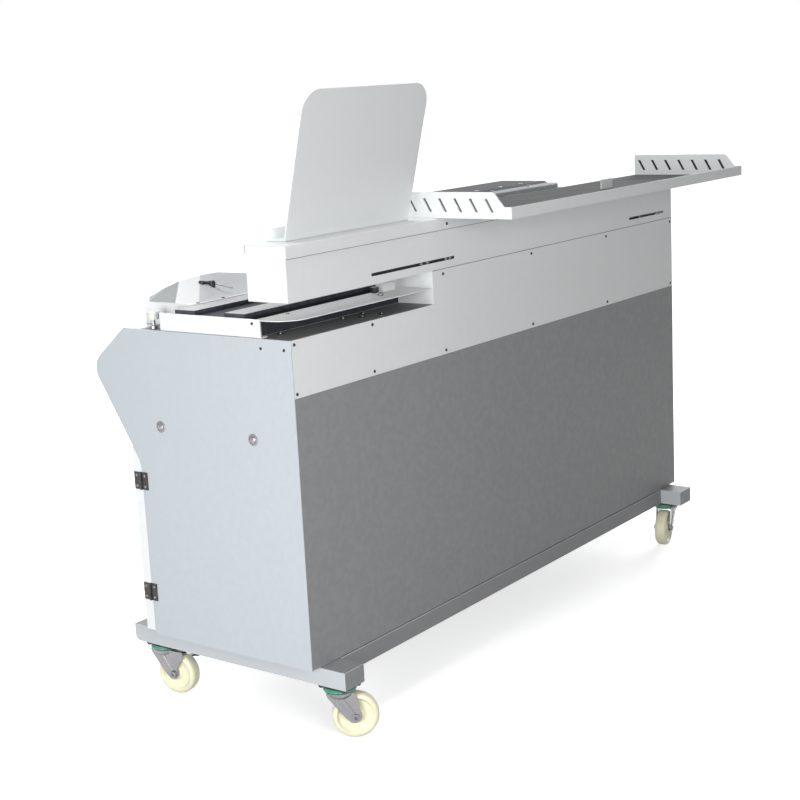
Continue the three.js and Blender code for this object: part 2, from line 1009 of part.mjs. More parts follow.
add('rear_cover_tray', join(
  alongZ(outline([
    [trayLowX, trayFrontY],
    [trayHighX, trayFrontY],
    [trayHighX, trayRearY, tray.cornerRadius],
    [trayLowX, trayRearY],
  ]), trayTop - tray.thickness, trayTop, cornerSteps),
  block(
    [trayLowX, trayFrontY, deckZ + seat],
    [endX - nipEnd.foot - seat, trayFrontY + tray.thickness, trayTop],
  ),
), materials.whitePaint);

// Hipped hood over the front press drive

const hoodEnd = hood.start + hood.length;
const ridgeAcross = hoodFar - hood.ridgeInset;

const hoodSpot = (along, across, z) => new THREE.Vector3(fromNip(along), fromRear(across), z);

const hoodShell = (skin) => {
  const wallTop = deckZ + hood.wallRise - skin;
  const walls = block(
    [fromNip(hoodEnd - skin), fromRear(hoodFar - skin), skin > 0 ? deckZ - overrun : deckZ + seat],
    [fromNip(hood.start + skin), fromRear(hoodNear + skin), wallTop],
  );
  const endAlong = hood.start + hood.endRim + skin;
  const nearAcross = hoodNear + hood.rim + skin;
  const footZ = wallTop - sheet / 2;
  const farAcross = hoodFar - hood.rim - skin;
  const lastAlong = hoodEnd - hood.rim - skin;
  const foot = [
    hoodSpot(endAlong, nearAcross + hood.cornerCut, footZ),
    hoodSpot(endAlong + hood.cornerCut, nearAcross, footZ),
    hoodSpot(lastAlong, nearAcross, footZ),
    hoodSpot(lastAlong, farAcross, footZ),
    hoodSpot(lastAlong, farAcross, footZ + hood.farLift),
    hoodSpot(endAlong, farAcross, footZ),
    hoodSpot(endAlong, farAcross, footZ + hood.farLift),
  ];
  const ridge = ridgeShares.map(({ along, rise }) =>
    hoodSpot(hood.start + along * hood.length, ridgeAcross, wallTop + rise * hood.ridgeHeight));
  return join(walls, new ConvexGeometry([...foot, ...ridge]));
};

add('nip_hood', cut(hoodShell(0), hoodShell(hood.skin)), materials.whitePaint);

// Side-lay knob at the nipping end

add('side_lay_knob', turned([
  [0, seat],
  [knob.footRadius, seat],
  [knob.footRadius, knob.footHeight],
  [knob.stemRadius, knob.footHeight],
  [knob.stemRadius, knob.rise],
  [knob.radius - knob.edge, knob.rise],
  [knob.radius, knob.rise + knob.edge],
  [knob.radius, knob.rise + knob.height - knob.edge],
  [knob.radius - knob.edge, knob.rise + knob.height],
  [0, knob.rise + knob.height],
], smallSegments), materials.nylon, [fromNip(knob.along), fromRear(knobAcross), deckZ]);

// Carriage track: profile rail, belt and pulleys, drive motor

const railY = fromRear(rail.across);
const railFootZ = housingFloorZ + seat;
const railTopZ = railFootZ + rail.height;
const railThird = rail.height / 3;

const railShape = outline([
  [railY - rail.width / 2, railFootZ],
  [railY + rail.width / 2, railFootZ],
  [railY + rail.width / 2, railFootZ + railThird],
  [railY + rail.footWidth / 2, railFootZ + railThird],
  [railY + rail.footWidth / 2, railFootZ + 2 * railThird],
  [railY + rail.width / 2, railFootZ + 2 * railThird],
  [railY + rail.width / 2, railTopZ],
  [railY - rail.width / 2, railTopZ],
  [railY - rail.width / 2, railFootZ + 2 * railThird],
  [railY - rail.footWidth / 2, railFootZ + 2 * railThird],
  [railY - rail.footWidth / 2, railFootZ + railThird],
  [railY - rail.width / 2, railFootZ + railThird],
]);

add('guide_rail', alongX(railShape, -endX + panelGap, endX - panelGap), materials.steel);

const beltInner = belt.pulleyRadius + seat;

const beltLoop = (radius, low, high) => {
  const shape = new THREE.Shape();
  shape.absarc(idlerX, beltY, radius, -Math.PI / 2, Math.PI / 2);
  shape.absarc(driveX, beltY, radius, Math.PI / 2, 3 * Math.PI / 2);
  shape.closePath();
  return alongZ(shape, low, high, discSteps);
};

add('drive_belt', cut(
  beltLoop(beltInner + belt.thickness, beltZ, beltZ + belt.width),
  beltLoop(beltInner, beltZ - overrun, beltZ + belt.width + overrun),
), materials.rubber);

const pulleyProfile = (shaftLow) => {
  const low = beltZ - belt.hubGap;
  const high = beltZ + belt.width + belt.hubGap;
  const flange = belt.flangeThickness;
  return [
    [0, shaftLow],
    [belt.shaftRadius, shaftLow],
    [belt.shaftRadius, low - flange],
    [belt.flangeRadius, low - flange],
    [belt.flangeRadius, low],
    [belt.pulleyRadius, low],
    [belt.pulleyRadius, high],
    [belt.flangeRadius, high],
    [belt.flangeRadius, high + flange],
    [0, high + flange],
  ];
};

const motorBodyTop = deckZ + seamHeight - motor.topGap + seat;
const motorTopZ = motorBodyTop + motor.bossHeight;

add('idler_pulley', turned(pulleyProfile(housingFloorZ + seat)), materials.aluminium, [idlerX, beltY, 0]);
add('drive_pulley', turned(pulleyProfile(motorTopZ + seat)), materials.aluminium, [driveX, beltY, 0]);

add('drive_motor', join(
  alongZ(rectangle(motor.side, motor.side, bendRadius), deckZ + seat, motorBodyTop),
  rodZ(motor.bossRadius, motorBodyTop - lap, motorTopZ),
), materials.motorPaint, [driveX, beltY, 0]);

// Carriage: frame with the fixed jaw, moving jaw, jaw actuator and two-step cover

const carriageX = fromLoad(carriage.loadInset);
const halfCarriage = carriage.length / 2;
const coverTopZ = housingTopZ - jawCover.lidDrop;
const underCoverDrop = sheet + 2 * seat;
const jawFaceY = fromRear(nip.gapNear + carriage.jawClear);
const jawBackY = jawFaceY + carriage.jawThickness;
const jawTopZ = coverTopZ - jawCover.jawDrop - underCoverDrop - carriage.coverGap;
const jawLowZ = jawTopZ - carriage.jawHeight;
const movingFaceY = frontPlateY;
const movingBackY = movingFaceY - carriage.jawThickness;
const coverNearY = movingBackY - jawCover.jawGap;
const coverStepY = coverNearY - jawCover.stepRun;
const coverShoulderY = coverStepY - jawCover.slantRun;
const carriageFrontY = frontY - carriage.frontReach;
const beamBackY = carriageFrontY + carriage.frontBeam;
const frontLowZ = coverTopZ - carriage.frontHeight;
const shoulderZ = coverTopZ - underCoverDrop;
const blockNearY = railY + carriage.blockWidth / 2;
const blockFarY = railY - carriage.blockWidth / 2;
const blockLowZ = railTopZ - carriage.blockLap;
const blockTopZ = railTopZ + carriage.blockRoof;
const tabY = beltY - beltInner - belt.thickness - carriage.tabGap;

const endPlateShape = outline([
  [jawBackY - carriage.jawThickness / 2, frontLowZ],
  [jawBackY - carriage.jawThickness / 2, jawTopZ],
  [coverNearY - underCoverDrop, jawTopZ],
  [coverNearY - underCoverDrop, shoulderZ - jawCover.stepDrop],
  [coverStepY, shoulderZ - jawCover.stepDrop],
  [coverShoulderY, shoulderZ],
  [carriageFrontY, shoulderZ],
  [carriageFrontY, frontLowZ],
]);

const carriagePlate = (side) => {
  const outer = side * halfCarriage;
  const inner = side * (halfCarriage - carriage.endPlate);
  return alongX(endPlateShape, Math.min(outer, inner), Math.max(outer, inner));
};

const railGroove = block(
  [-bodyLength, railY - rail.width / 2 - carriage.railGap, bottomZ],
  [bodyLength, railY + rail.width / 2 + carriage.railGap, railTopZ + carriage.railGap],
);

add('carriage_frame', cut(join(
  block(
    [-carriage.blockLength / 2, blockFarY, blockLowZ],
    [carriage.blockLength / 2, blockNearY, blockTopZ],
  ),
  block(
    [-carriage.tabLength / 2, blockNearY - lap, blockLowZ],
    [carriage.tabLength / 2, tabY, blockTopZ],
  ),
  block(
    [-carriage.blockLength / 2, jawFaceY + lap, blockTopZ - carriage.armHeight],
    [carriage.blockLength / 2, blockFarY + lap, blockTopZ],
  ),
  block([-halfCarriage, jawFaceY, jawLowZ], [halfCarriage, jawBackY, jawTopZ]),
  carriagePlate(-1),
  carriagePlate(1),
  block([-halfCarriage, carriageFrontY, frontLowZ], [halfCarriage, beamBackY, shoulderZ]),
), railGroove), materials.castIron, [carriageX, 0, 0]);

const halfJaw = halfCarriage - carriage.endPlate - carriage.slideGap;
const rodAxisZ = jawTopZ - jawRod.drop;

add('moving_jaw', join(
  block([-halfJaw, movingBackY, jawLowZ], [halfJaw, movingFaceY, jawTopZ]),
  rodY(jawRod.radius, movingBackY - jawRod.length, movingBackY + lap).translate(0, 0, rodAxisZ),
), materials.steel, [carriageX, 0, 0]);

const actuatorNearY = movingBackY - actuator.jawGap;
const actuatorTopZ = jawTopZ - actuator.topGap;

add('jaw_actuator', cut(
  block(
    [-actuator.width / 2, beamBackY + seat, actuatorTopZ - actuator.height],
    [actuator.width / 2, actuatorNearY, actuatorTopZ],
  ),
  rodY(jawRod.radius + jawRod.bore, actuatorNearY - actuator.boreDepth, actuatorNearY + overrun)
    .translate(0, 0, rodAxisZ),
), materials.motorPaint, [carriageX, 0, 0]);

add('jaw_cover', alongX(bentSheet([
  [coverNearY, coverTopZ - jawCover.stepDrop - jawCover.hem],
  [coverNearY, coverTopZ - jawCover.stepDrop],
  [coverStepY, coverTopZ - jawCover.stepDrop],
  [coverShoulderY, coverTopZ],
  [frontY - jawCover.frontReach, coverTopZ],
  [frontY - jawCover.frontReach, coverTopZ - jawCover.skirt],
], sheet, bendRadius), -halfCarriage, halfCarriage), materials.darkSteel, [carriageX, 0, 0]);

// Spine milling cutter and its motor under the deck

const discLowZ = deckZ + cutter.discRise;
const discTopZ = discLowZ + cutter.discHeight;
const cutterX = fromNip(cutter.along);
const underDeckZ = deckZ - sheet - seat;
const toothAngle = 2 * Math.PI / cutter.toothCount;

const gullet = (index) => rodZ(
  cutter.toothDepth,
  discLowZ - overrun,
  discTopZ + overrun,
).translate(cutter.radius * Math.cos(index * toothAngle), cutter.radius * Math.sin(index * toothAngle), 0);

add('milling_cutter', cut(
  turned([
    [0, underDeckZ + seat],
    [cutter.shaftRadius, underDeckZ + seat],
    [cutter.shaftRadius, discLowZ - cutter.hubDrop],
    [cutter.hubRadius, discLowZ - cutter.hubDrop],
    [cutter.hubRadius, discLowZ],
    [cutter.radius, discLowZ],
    [cutter.radius, discTopZ],
    [0, discTopZ],
  ]),
  ...Array.from({ length: cutter.toothCount }, (_, index) => gullet(index)),
), materials.steel, [cutterX, bookY, 0]);

const motorLowZ = underDeckZ - cutterMotor.flangeHeight - cutterMotor.bodyHeight;

add('milling_motor', turned([
  [0, motorLowZ],
  [cutterMotor.cowlRadius, motorLowZ],
  [cutterMotor.cowlRadius, motorLowZ + cutterMotor.cowlHeight],
  [cutterMotor.bodyRadius, motorLowZ + cutterMotor.cowlHeight],
  [cutterMotor.bodyRadius, underDeckZ - cutterMotor.flangeHeight],
  [cutterMotor.flangeRadius, underDeckZ - cutterMotor.flangeHeight],
  [cutterMotor.flangeRadius, underDeckZ],
  [0, underDeckZ],
]), materials.motorPaint, [cutterX, bookY, 0]);

// Glue tank with two rollers and their motor

const tankHighX = fromNip(glue.start);
const tankLowX = tankHighX - glue.length;
const tankRearY = fromRear(glue.near);
const tankFrontY = tankRearY - glue.width;
const tankLowZ = deckZ - glue.drop;
const tankHighZ = deckZ + glue.rise;
const rollerZ = deckZ + glue.rollerRise;
const firstRollerX = tankHighX - glue.firstRoller;
const secondRollerX = tankHighX - glue.secondRoller;

add('glue_tank', cut(
  join(
    block([tankLowX, tankFrontY, tankLowZ], [tankHighX, tankRearY, tankHighZ]),
    block(
      [tankLowX - glue.flange, tankFrontY - glue.flange, deckZ + seat],
      [tankHighX + glue.flange, tankRearY + glue.flange, deckZ + seat + glue.flangeHeight],
    ),
  ),
  block(
    [tankLowX + glue.wall, tankFrontY + glue.wall, tankLowZ + glue.wall],
    [tankHighX - glue.wall, tankRearY - glue.wall, tankHighZ + overrun],
  ),
  ...[firstRollerX, secondRollerX].map((x) => rodY(
    glue.shaftRadius + glue.shaftGap,
    tankFrontY - overrun,
    tankRearY + overrun,
  ).translate(x, 0, rollerZ)),
), materials.aluminium);

const rollerLowY = tankFrontY + glue.wall + glue.rollerEnd;
const rollerHighY = tankRearY - glue.wall - glue.rollerEnd;

const addRoller = (name, x, reach) => add(name, join(
  alongY(disc(glue.rollerRadius), rollerLowY, rollerHighY, smallSegments / 2),
  rodY(glue.shaftRadius, tankFrontY - reach, tankRearY + glue.shaftReach),
), materials.steel, [x, 0, rollerZ]);

addRoller('first_glue_roller', firstRollerX, glue.driveReach);
addRoller('second_glue_roller', secondRollerX, glue.shaftReach);

const glueMotorY = tankFrontY - glue.driveReach - seat;

add('glue_motor', block(
  [-glueMotor.width / 2, glueMotorY - glueMotor.depth, deckZ + seat],
  [glueMotor.width / 2, glueMotorY, deckZ + seat + glueMotor.height],
), materials.motorPaint, [firstRollerX, 0, 0]);

// Controls on the console slope

add('touch_screen', alongZ(
  rectangle(panelControls.screenWidth, panelControls.screenHeight, panelControls.screenRadius),
  seat,
  panelControls.screenDepth,
), materials.glass, [fromNip(panelControls.screenAlong), 0, 0], slope);

const button = (radius, height, travel) => {
  const capLow = seat + travel;
  return turned([
    [0, -panelControls.stemDepth],
    [panelControls.stemRadius, -panelControls.stemDepth],
    [panelControls.stemRadius, capLow],
    [radius, capLow],
    [radius, capLow + height - panelControls.edge],
    [radius - panelControls.edge, capLow + height],
    [0, capLow + height],
  ], smallSegments);
};

add(
  'start_button',
  button(panelControls.buttonRadius, panelControls.buttonHeight, panelControls.buttonTravel),
  materials.greenPlastic,
  [fromNip(panelControls.startAlong), 0, 0],
  slope,
);

add(
  'emergency_stop',
  button(panelControls.mushroomRadius, panelControls.mushroomHeight, panelControls.mushroomTravel),
  materials.redPlastic,
  [fromNip(panelControls.stopAlong), 0, 0],
  slope,
);

// Power inlet on the loading end

const inletX = -endX - seat;
const inletShape = rectangle(inlet.flangeWidth, inlet.flangeHeight, inlet.radius);

add('power_inlet', cut(
  join(
    alongX(inletShape, inletX - inlet.flangeDepth, inletX),
    alongX(
      rectangle(inlet.bodyWidth, inlet.bodyHeight, inlet.radius),
      inletX - seat,
      inletX + inlet.bodyDepth,
    ),
  ),
  alongX(
    rectangle(inlet.socketWidth, inlet.socketHeight, inlet.radius),
    inletX - inlet.flangeDepth - overrun,
    inletX - inlet.flangeDepth + inlet.socketDepth,
  ),
), materials.blackPlastic, [0, fromRear(inlet.across), bottomZ + inlet.rise]);

// Casters: fixed plate with the swivel race, fork with its axle, wheel, and a brake pedal in front

const plateLowZ = casterHeight - seat - caster.plateThickness;
const raceLowZ = plateLowZ - caster.raceHeight;
const crownTopZ = raceLowZ - seat;
const crownLowZ = crownTopZ - caster.crownHeight;
const axleZ = caster.wheelRadius;
const halfWheel = caster.wheelWidth / 2;
const legInner = halfWheel + caster.legGap;
const legOuter = legInner + caster.legThickness;
const pedalZ = crownLowZ - pedal.drop;

const legCorners = (brake) => {
  const topZ = crownLowZ + caster.crownHeight / 2;
  const ear = [
    [pedal.start + pedal.earMargin, pedalZ - 2 * pedal.earMargin],
    [pedal.start + pedal.earMargin, topZ],
  ];
  return [
    [-caster.legTopHalf, topZ],
    [caster.trail - caster.legEndRadius, axleZ - caster.legEndRadius, caster.legEndRadius / 2],
    [caster.trail + caster.legEndRadius, axleZ - caster.legEndRadius, caster.legEndRadius / 2],
    [caster.trail + caster.legEndRadius, axleZ + caster.legEndRadius, caster.legEndRadius / 2],
    ...(brake ? ear : [[caster.legTopHalf, topZ]]),
  ];
};

const forkGeometry = (brake) => join(
  rodZ(caster.crownRadius, crownLowZ, crownTopZ),
  alongY(outline(legCorners(brake)), legInner, legOuter),
  alongY(outline(legCorners(brake)), -legOuter, -legInner),
  rodY(caster.axleRadius, -legOuter - caster.nutHeight, legOuter + caster.nutHeight)
    .translate(caster.trail, 0, axleZ),
  ...[-1, 1].map((side) => {
    const ends = [side * (legOuter - caster.legThickness / 2), side * (legOuter + caster.nutHeight)];
    return alongY(disc(caster.nutRadius), Math.min(...ends), Math.max(...ends), hexSteps)
      .translate(caster.trail, 0, axleZ);
  }),
);

const bore = caster.axleRadius + caster.axleGap;
const hubFace = halfWheel - caster.hubStep;
const treadEdge = caster.wheelRadius - caster.treadShoulder / 2;

const wheelGeometry = turned([
  [bore, -halfWheel],
  [caster.hubRadius, -halfWheel],
  [caster.hubRadius + caster.hubStep, -hubFace + caster.webInset],
  [caster.rimRadius, -hubFace + caster.webInset],
  [caster.rimRadius + caster.hubStep, -halfWheel],
  [treadEdge, -halfWheel + caster.hubStep / 2],
  [caster.wheelRadius, -halfWheel + caster.treadShoulder],
  [caster.wheelRadius, halfWheel - caster.treadShoulder],
  [treadEdge, halfWheel - caster.hubStep / 2],
  [caster.rimRadius + caster.hubStep, halfWheel],
  [caster.rimRadius, hubFace - caster.webInset],
  [caster.hubRadius + caster.hubStep, hubFace - caster.webInset],
  [caster.hubRadius, halfWheel],
  [bore, halfWheel],
]).rotateX(Math.PI / 2);

const plateGeometry = join(
  alongZ(rectangle(caster.plateWidth, caster.plateLength, bendRadius), plateLowZ, casterHeight - seat),
  turned([
    [0, raceLowZ],
    [caster.raceRadius - bendRadius, raceLowZ],
    [caster.raceRadius, raceLowZ + bendRadius],
    [caster.raceRadius, plateLowZ + seat],
    [0, plateLowZ + seat],
  ], smallSegments),
);

const pedalShape = outline([
  [0, -pedal.thickness / 2],
  [pedal.reach, pedal.tipRise - pedal.thickness / 2],
  [pedal.reach, pedal.tipRise + pedal.thickness / 2],
  [0, pedal.thickness / 2],
]);

casterPlaces.forEach(({ name, end, y, yaw, brake }) => {
  const stand = new THREE.Group();
  stand.position.set(end * crossX, y, 0);
  machine.add(stand);
  add(`${name}_plate`, plateGeometry, materials.ringGreen, [0, 0, 0], stand);
  const swivel = new THREE.Group();
  swivel.rotation.z = THREE.MathUtils.degToRad(yaw);
  stand.add(swivel);
  add(`${name}_fork`, forkGeometry(brake), materials.zinc, [0, 0, 0], swivel);
  add(`${name}_wheel`, wheelGeometry, materials.nylon, [caster.trail, 0, axleZ], swivel);
  if (brake) {
    add(`${name}_brake`, join(
      rodY(pedal.pivotRadius, seat - legInner, legInner - seat),
      alongY(pedalShape, -pedal.width / 2, pedal.width / 2),
    ), materials.blackPlastic, [pedal.start, 0, pedalZ], swivel);
  }
});

// The finished machine stands on z = 0, centred over the origin

machine.updateMatrixWorld(true);
const bounds = new THREE.Box3().setFromObject(machine);
const middle = bounds.getCenter(new THREE.Vector3());
machine.position.set(-middle.x, -middle.y, -bounds.min.z);

export default machine;
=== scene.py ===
# Looks of the floor-standing hot-melt book binding machine, in metres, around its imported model.

import json
import math

import bmesh
import bpy
from mathutils import Matrix, Vector


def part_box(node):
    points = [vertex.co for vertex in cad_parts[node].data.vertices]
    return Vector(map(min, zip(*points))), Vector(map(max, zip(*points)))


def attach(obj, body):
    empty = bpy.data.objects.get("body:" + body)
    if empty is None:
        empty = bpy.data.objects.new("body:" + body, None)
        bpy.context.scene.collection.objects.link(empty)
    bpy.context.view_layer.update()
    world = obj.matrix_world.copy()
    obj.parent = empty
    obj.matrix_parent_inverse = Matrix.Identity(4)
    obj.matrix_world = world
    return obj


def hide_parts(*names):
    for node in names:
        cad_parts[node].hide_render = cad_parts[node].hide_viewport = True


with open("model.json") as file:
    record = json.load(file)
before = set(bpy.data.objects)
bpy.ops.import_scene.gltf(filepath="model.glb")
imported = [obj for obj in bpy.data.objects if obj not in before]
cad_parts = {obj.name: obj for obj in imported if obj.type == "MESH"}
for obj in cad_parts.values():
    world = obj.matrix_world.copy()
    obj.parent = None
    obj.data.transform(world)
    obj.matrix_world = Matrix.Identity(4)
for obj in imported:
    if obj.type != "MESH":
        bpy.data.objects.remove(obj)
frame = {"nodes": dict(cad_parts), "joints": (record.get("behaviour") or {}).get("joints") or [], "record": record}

scene = bpy.context.scene
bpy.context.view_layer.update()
nodes = frame["nodes"]
joints = {joint["name"]: joint for joint in frame["joints"]}
body_of = {
    node: body
    for body, members in frame["record"]["behaviour"]["bodies"].items()
    for node in members
}
slot_of = {part["node"]: part["material_slot"] for part in frame["record"]["subparts"]}

MM = 0.001
UP = Vector((0, 0, 1))

# Places are counted from the nipping end, across from the rear plane, and up from the cabinet floor

nip_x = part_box("left_end_panel")[1].x
load_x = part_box("right_end_panel")[0].x
rear_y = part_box("rear_lower_panel")[1].y
sill_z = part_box("base_frame")[1].z


def spot(along, across, rise):
    return Vector((nip_x - along * MM, rear_y - across * MM, sill_z + rise * MM))


# Heights above the cabinet floor, in millimetres

DECK = 700
HOOD_FOOT = 748
LOWER_SEAM_SCREWS = 590
NOTCH_SCREWS = 691
UPPER_SEAM_SCREWS = 764
HOUSING_SEAM = 774.4
HOUSING_SLOT = 796.5
LID_FLANGE = 861.6
LID_SCREWS = 875
END_CORNER_SCREWS = 680
END_PLUGS = ((386, 488), (119, 486))

# Camera at the photograph's angle

EYE = (3.11975, 2.16583, 1.368)
GAZE = (-0.7812, -0.5888, -0.2075)
ROLL = math.radians(-2.9055)
LENS = 68.96
SENSOR = 36


def place_camera():
    gaze = Vector(GAZE).normalized()
    right = gaze.cross(UP).normalized()
    top = right.cross(gaze)
    side = math.cos(ROLL) * right + math.sin(ROLL) * top
    head = math.cos(ROLL) * top - math.sin(ROLL) * right
    turn = Matrix((side, head, -gaze)).transposed().to_4x4()
    data = bpy.data.cameras.new("camera")
    data.lens = LENS
    data.sensor_width = SENSOR
    data.clip_end = 50
    camera = bpy.data.objects.new("camera", data)
    camera.matrix_world = Matrix.Translation(EYE) @ turn
    scene.collection.objects.link(camera)
    scene.camera = camera


place_camera()

# Shader groups shared by the finishes


def feed(tree, sockets, values):
    """Links each socket to the output given for it, or sets the socket's own value."""
    for key, value in values.items():
        if isinstance(value, bpy.types.NodeSocket):
            tree.links.new(value, sockets[key])
        else:
            sockets[key].default_value = value


def put(tree, kind, values=None, **settings):
    node = tree.nodes.new("ShaderNode" + kind)
    for key, value in settings.items():
        setattr(node, key, value)
    feed(tree, node.inputs, values or {})
    return node


def begin_group(name, inputs, outputs):
    tree = bpy.data.node_groups.new(name, "ShaderNodeTree")
    for label, value in inputs.items():
        colour = isinstance(value, tuple)
        kind = "NodeSocketColor" if colour else "NodeSocketFloat"
        tree.interface.new_socket(label, in_out="INPUT", socket_type=kind).default_value = value
    for label, kind in outputs.items():
        tree.interface.new_socket(label, in_out="OUTPUT", socket_type="NodeSocket" + kind)
    source = tree.nodes.new("NodeGroupInput")
    sink = tree.nodes.new("NodeGroupOutput")
    return tree, source.outputs, sink.inputs


def noise(tree, scale, detail, vector=None, roughness=0.5):
    if vector is None:
        vector = put(tree, "TexCoord").outputs["Object"]
    values = {"Vector": vector, "Scale": scale, "Detail": detail, "Roughness": roughness}
    return put(tree, "TexNoise", values).outputs["Fac"]


def spread(tree, value, low, high, to_low, to_high):
    values = {"Value": value, "From Min": low, "From Max": high, "To Min": to_low, "To Max": to_high}
    return put(tree, "MapRange", values, clamp=True).outputs["Result"]


def math_node(tree, operation, first, second):
    return put(tree, "Math", {0: first, 1: second}, operation=operation).outputs[0]


def mix_colour(tree, share, first, second, blend="MIX"):
    values = {0: share, 6: first, 7: second}
    return put(tree, "Mix", values, data_type="RGBA", blend_type=blend).outputs[2]


WHITE = (1, 1, 1, 1)
CLOUD_TONE = (0.32, 0.34, 0.36, 1)
DUST_TONE = (0.62, 0.6, 0.55, 1)
GRAIN_TONE = (0.45, 0.46, 0.48, 1)
MOTTLE_TONE = (0.5, 0.5, 0.5, 1)


def make_coat_group():
    """Powder coat: faint clouding of the tone, handled patches in the gloss, and a fine orange peel."""
    tree, source, sink = begin_group(
        "powder_coat",
        {"Colour": WHITE, "Clouding": 0.05, "Peel": 900.0, "Roughness": 0.4, "Handling": 0.08},
        {"Colour": "Color", "Roughness": "Float", "Height": "Float"},
    )
    cloud = spread(tree, noise(tree, 2.2, 3), 0.3, 0.7, 0, 1)
    share = math_node(tree, "MULTIPLY", cloud, source["Clouding"])
    colour = mix_colour(tree, share, source["Colour"], CLOUD_TONE, "MULTIPLY")
    patch = spread(tree, noise(tree, 9, 6, roughness=0.65), 0.35, 0.7, 0, 1)
    lift = math_node(tree, "MULTIPLY", patch, source["Handling"])
    peel = noise(tree, source["Peel"], 2)
    rough = math_node(tree, "ADD", source["Roughness"], lift)
    feed(tree, sink, {"Colour": colour, "Roughness": rough, "Height": peel})
    return tree


def make_wear_group():
    """Rubbed outer edges, found from how sharply the surface turns."""
    tree, source, sink = begin_group(
        "edge_wear",
        {"Colour": WHITE, "Worn": WHITE, "Amount": 0.4, "Breakup": 60.0},
        {"Colour": "Color", "Mask": "Float"},
    )
    point = put(tree, "NewGeometry").outputs["Pointiness"]
    edge = spread(tree, point, 0.53, 0.62, 0, 1)
    patch = spread(tree, noise(tree, source["Breakup"], 4), 0.4, 0.62, 0, 1)
    mask = math_node(tree, "MULTIPLY", math_node(tree, "MULTIPLY", edge, patch), source["Amount"])
    colour = mix_colour(tree, mask, source["Colour"], source["Worn"])
    feed(tree, sink, {"Colour": colour, "Mask": mask})
    return tree


def make_dust_group():
    """Thin paper dust that settles on what faces up."""
    tree, source, sink = begin_group(
        "paper_dust",
        {"Colour": WHITE, "Amount": 0.2, "Roughness": 0.4},
        {"Colour": "Color", "Roughness": "Float"},
    )
    normal = put(tree, "NewGeometry").outputs["Normal"]
    upward = put(tree, "SeparateXYZ", {0: normal}).outputs["Z"]
    facing = spread(tree, upward, 0.6, 0.98, 0, 1)
    patch = spread(tree, noise(tree, 26, 5, roughness=0.6), 0.35, 0.75, 0.15, 1)
    mask = math_node(tree, "MULTIPLY", math_node(tree, "MULTIPLY", facing, patch), source["Amount"])
    dulled = math_node(tree, "ADD", source["Roughness"], math_node(tree, "MULTIPLY", mask, 0.5))
    colour = mix_colour(tree, mask, source["Colour"], DUST_TONE)
    feed(tree, sink, {"Colour": colour, "Roughness": dulled})
    return tree


def make_grain_group():
    """Ground or brushed metal: lines drawn out along X, with light and dark runs."""
    tree, source, sink = begin_group(
        "ground_grain",
        {"Colour": WHITE, "Stretch": 40.0, "Fineness": 500.0, "Contrast": 0.3, "Roughness": 0.3},
        {"Colour": "Color", "Roughness": "Float", "Height": "Float"},
    )
    place = put(tree, "TexCoord").outputs["Object"]
    parts = put(tree, "SeparateXYZ", {0: place}).outputs
    short = math_node(tree, "DIVIDE", parts["X"], source["Stretch"])
    drawn = put(tree, "CombineXYZ", {"X": short, "Y": parts["Y"], "Z": parts["Z"]}).outputs[0]
    lines = noise(tree, source["Fineness"], 4, drawn, 0.6)
    share = math_node(tree, "MULTIPLY", spread(tree, lines, 0.35, 0.7, 0, 1), source["Contrast"])
    colour = mix_colour(tree, share, source["Colour"], GRAIN_TONE, "MULTIPLY")
    patch = spread(tree, noise(tree, 14, 4), 0.3, 0.7, -0.04, 0.1)
    rough = math_node(tree, "ADD", source["Roughness"], patch)
    feed(tree, sink, {"Colour": colour, "Roughness": rough, "Height": lines})
    return tree


def make_mould_group():
    """Moulded or cast skin: a fine pebble over a slow waviness."""
    tree, source, sink = begin_group(
        "moulded_skin",
        {"Colour": WHITE, "Pebble": 700.0, "Mottle": 0.1, "Roughness": 0.5},
        {"Colour": "Color", "Roughness": "Float", "Height": "Float"},
    )
    pebble = noise(tree, source["Pebble"], 3)
    wave = noise(tree, 40, 3)
    share = math_node(tree, "MULTIPLY", spread(tree, wave, 0.3, 0.7, 0, 1), source["Mottle"])
    colour = mix_colour(tree, share, source["Colour"], MOTTLE_TONE, "MULTIPLY")
    rough = math_node(tree, "ADD", source["Roughness"], spread(tree, wave, 0.3, 0.7, -0.05, 0.06))
    height = math_node(tree, "ADD", pebble, math_node(tree, "MULTIPLY", wave, 0.4))
    feed(tree, sink, {"Colour": colour, "Roughness": rough, "Height": height})
    return tree


SKINS = {"coat": make_coat_group(), "grain": make_grain_group(), "mould": make_mould_group()}
wear_group = make_wear_group()
dust_group = make_dust_group()


def group_node(tree, group, values):
    node = tree.nodes.new("ShaderNodeGroup")
    node.node_tree = group
    feed(tree, node.inputs, values)
    return node.outputs


def finish(name, colour, roughness, skin, skin_values, bump, metal=0.0, worn=None, dust=0.0, **sockets):
    """A finish: base skin, worn edges, dust on top, and a bump of the skin's height in metres."""
    material = bpy.data.materials.new(name)
    material.use_nodes = True
    tree = material.node_tree
    shader = tree.nodes["Principled BSDF"]
    base = (*colour, 1)
    outputs = group_node(tree, SKINS[skin], {"Colour": base, "Roughness": roughness, **skin_values})
    tone, rough = outputs["Colour"], outputs["Roughness"]
    if worn:
        worn_colour, amount = worn
        tone = group_node(tree, wear_group, {
            "Colour": tone, "Worn": (*worn_colour, 1), "Amount": amount,
        })["Colour"]
    if dust:
        settled = group_node(tree, dust_group, {"Colour": tone, "Amount": dust, "Roughness": rough})
        tone, rough = settled["Colour"], settled["Roughness"]
    lift = put(tree, "Bump", {"Height": outputs["Height"], "Distance": bump, "Strength": 1.0})
    feed(tree, shader.inputs, {
        "Base Color": tone, "Roughness": rough, "Normal": lift.outputs["Normal"], "Metallic": metal,
        **{key.replace("_", " "): value for key, value in sockets.items()},
    })
    return material


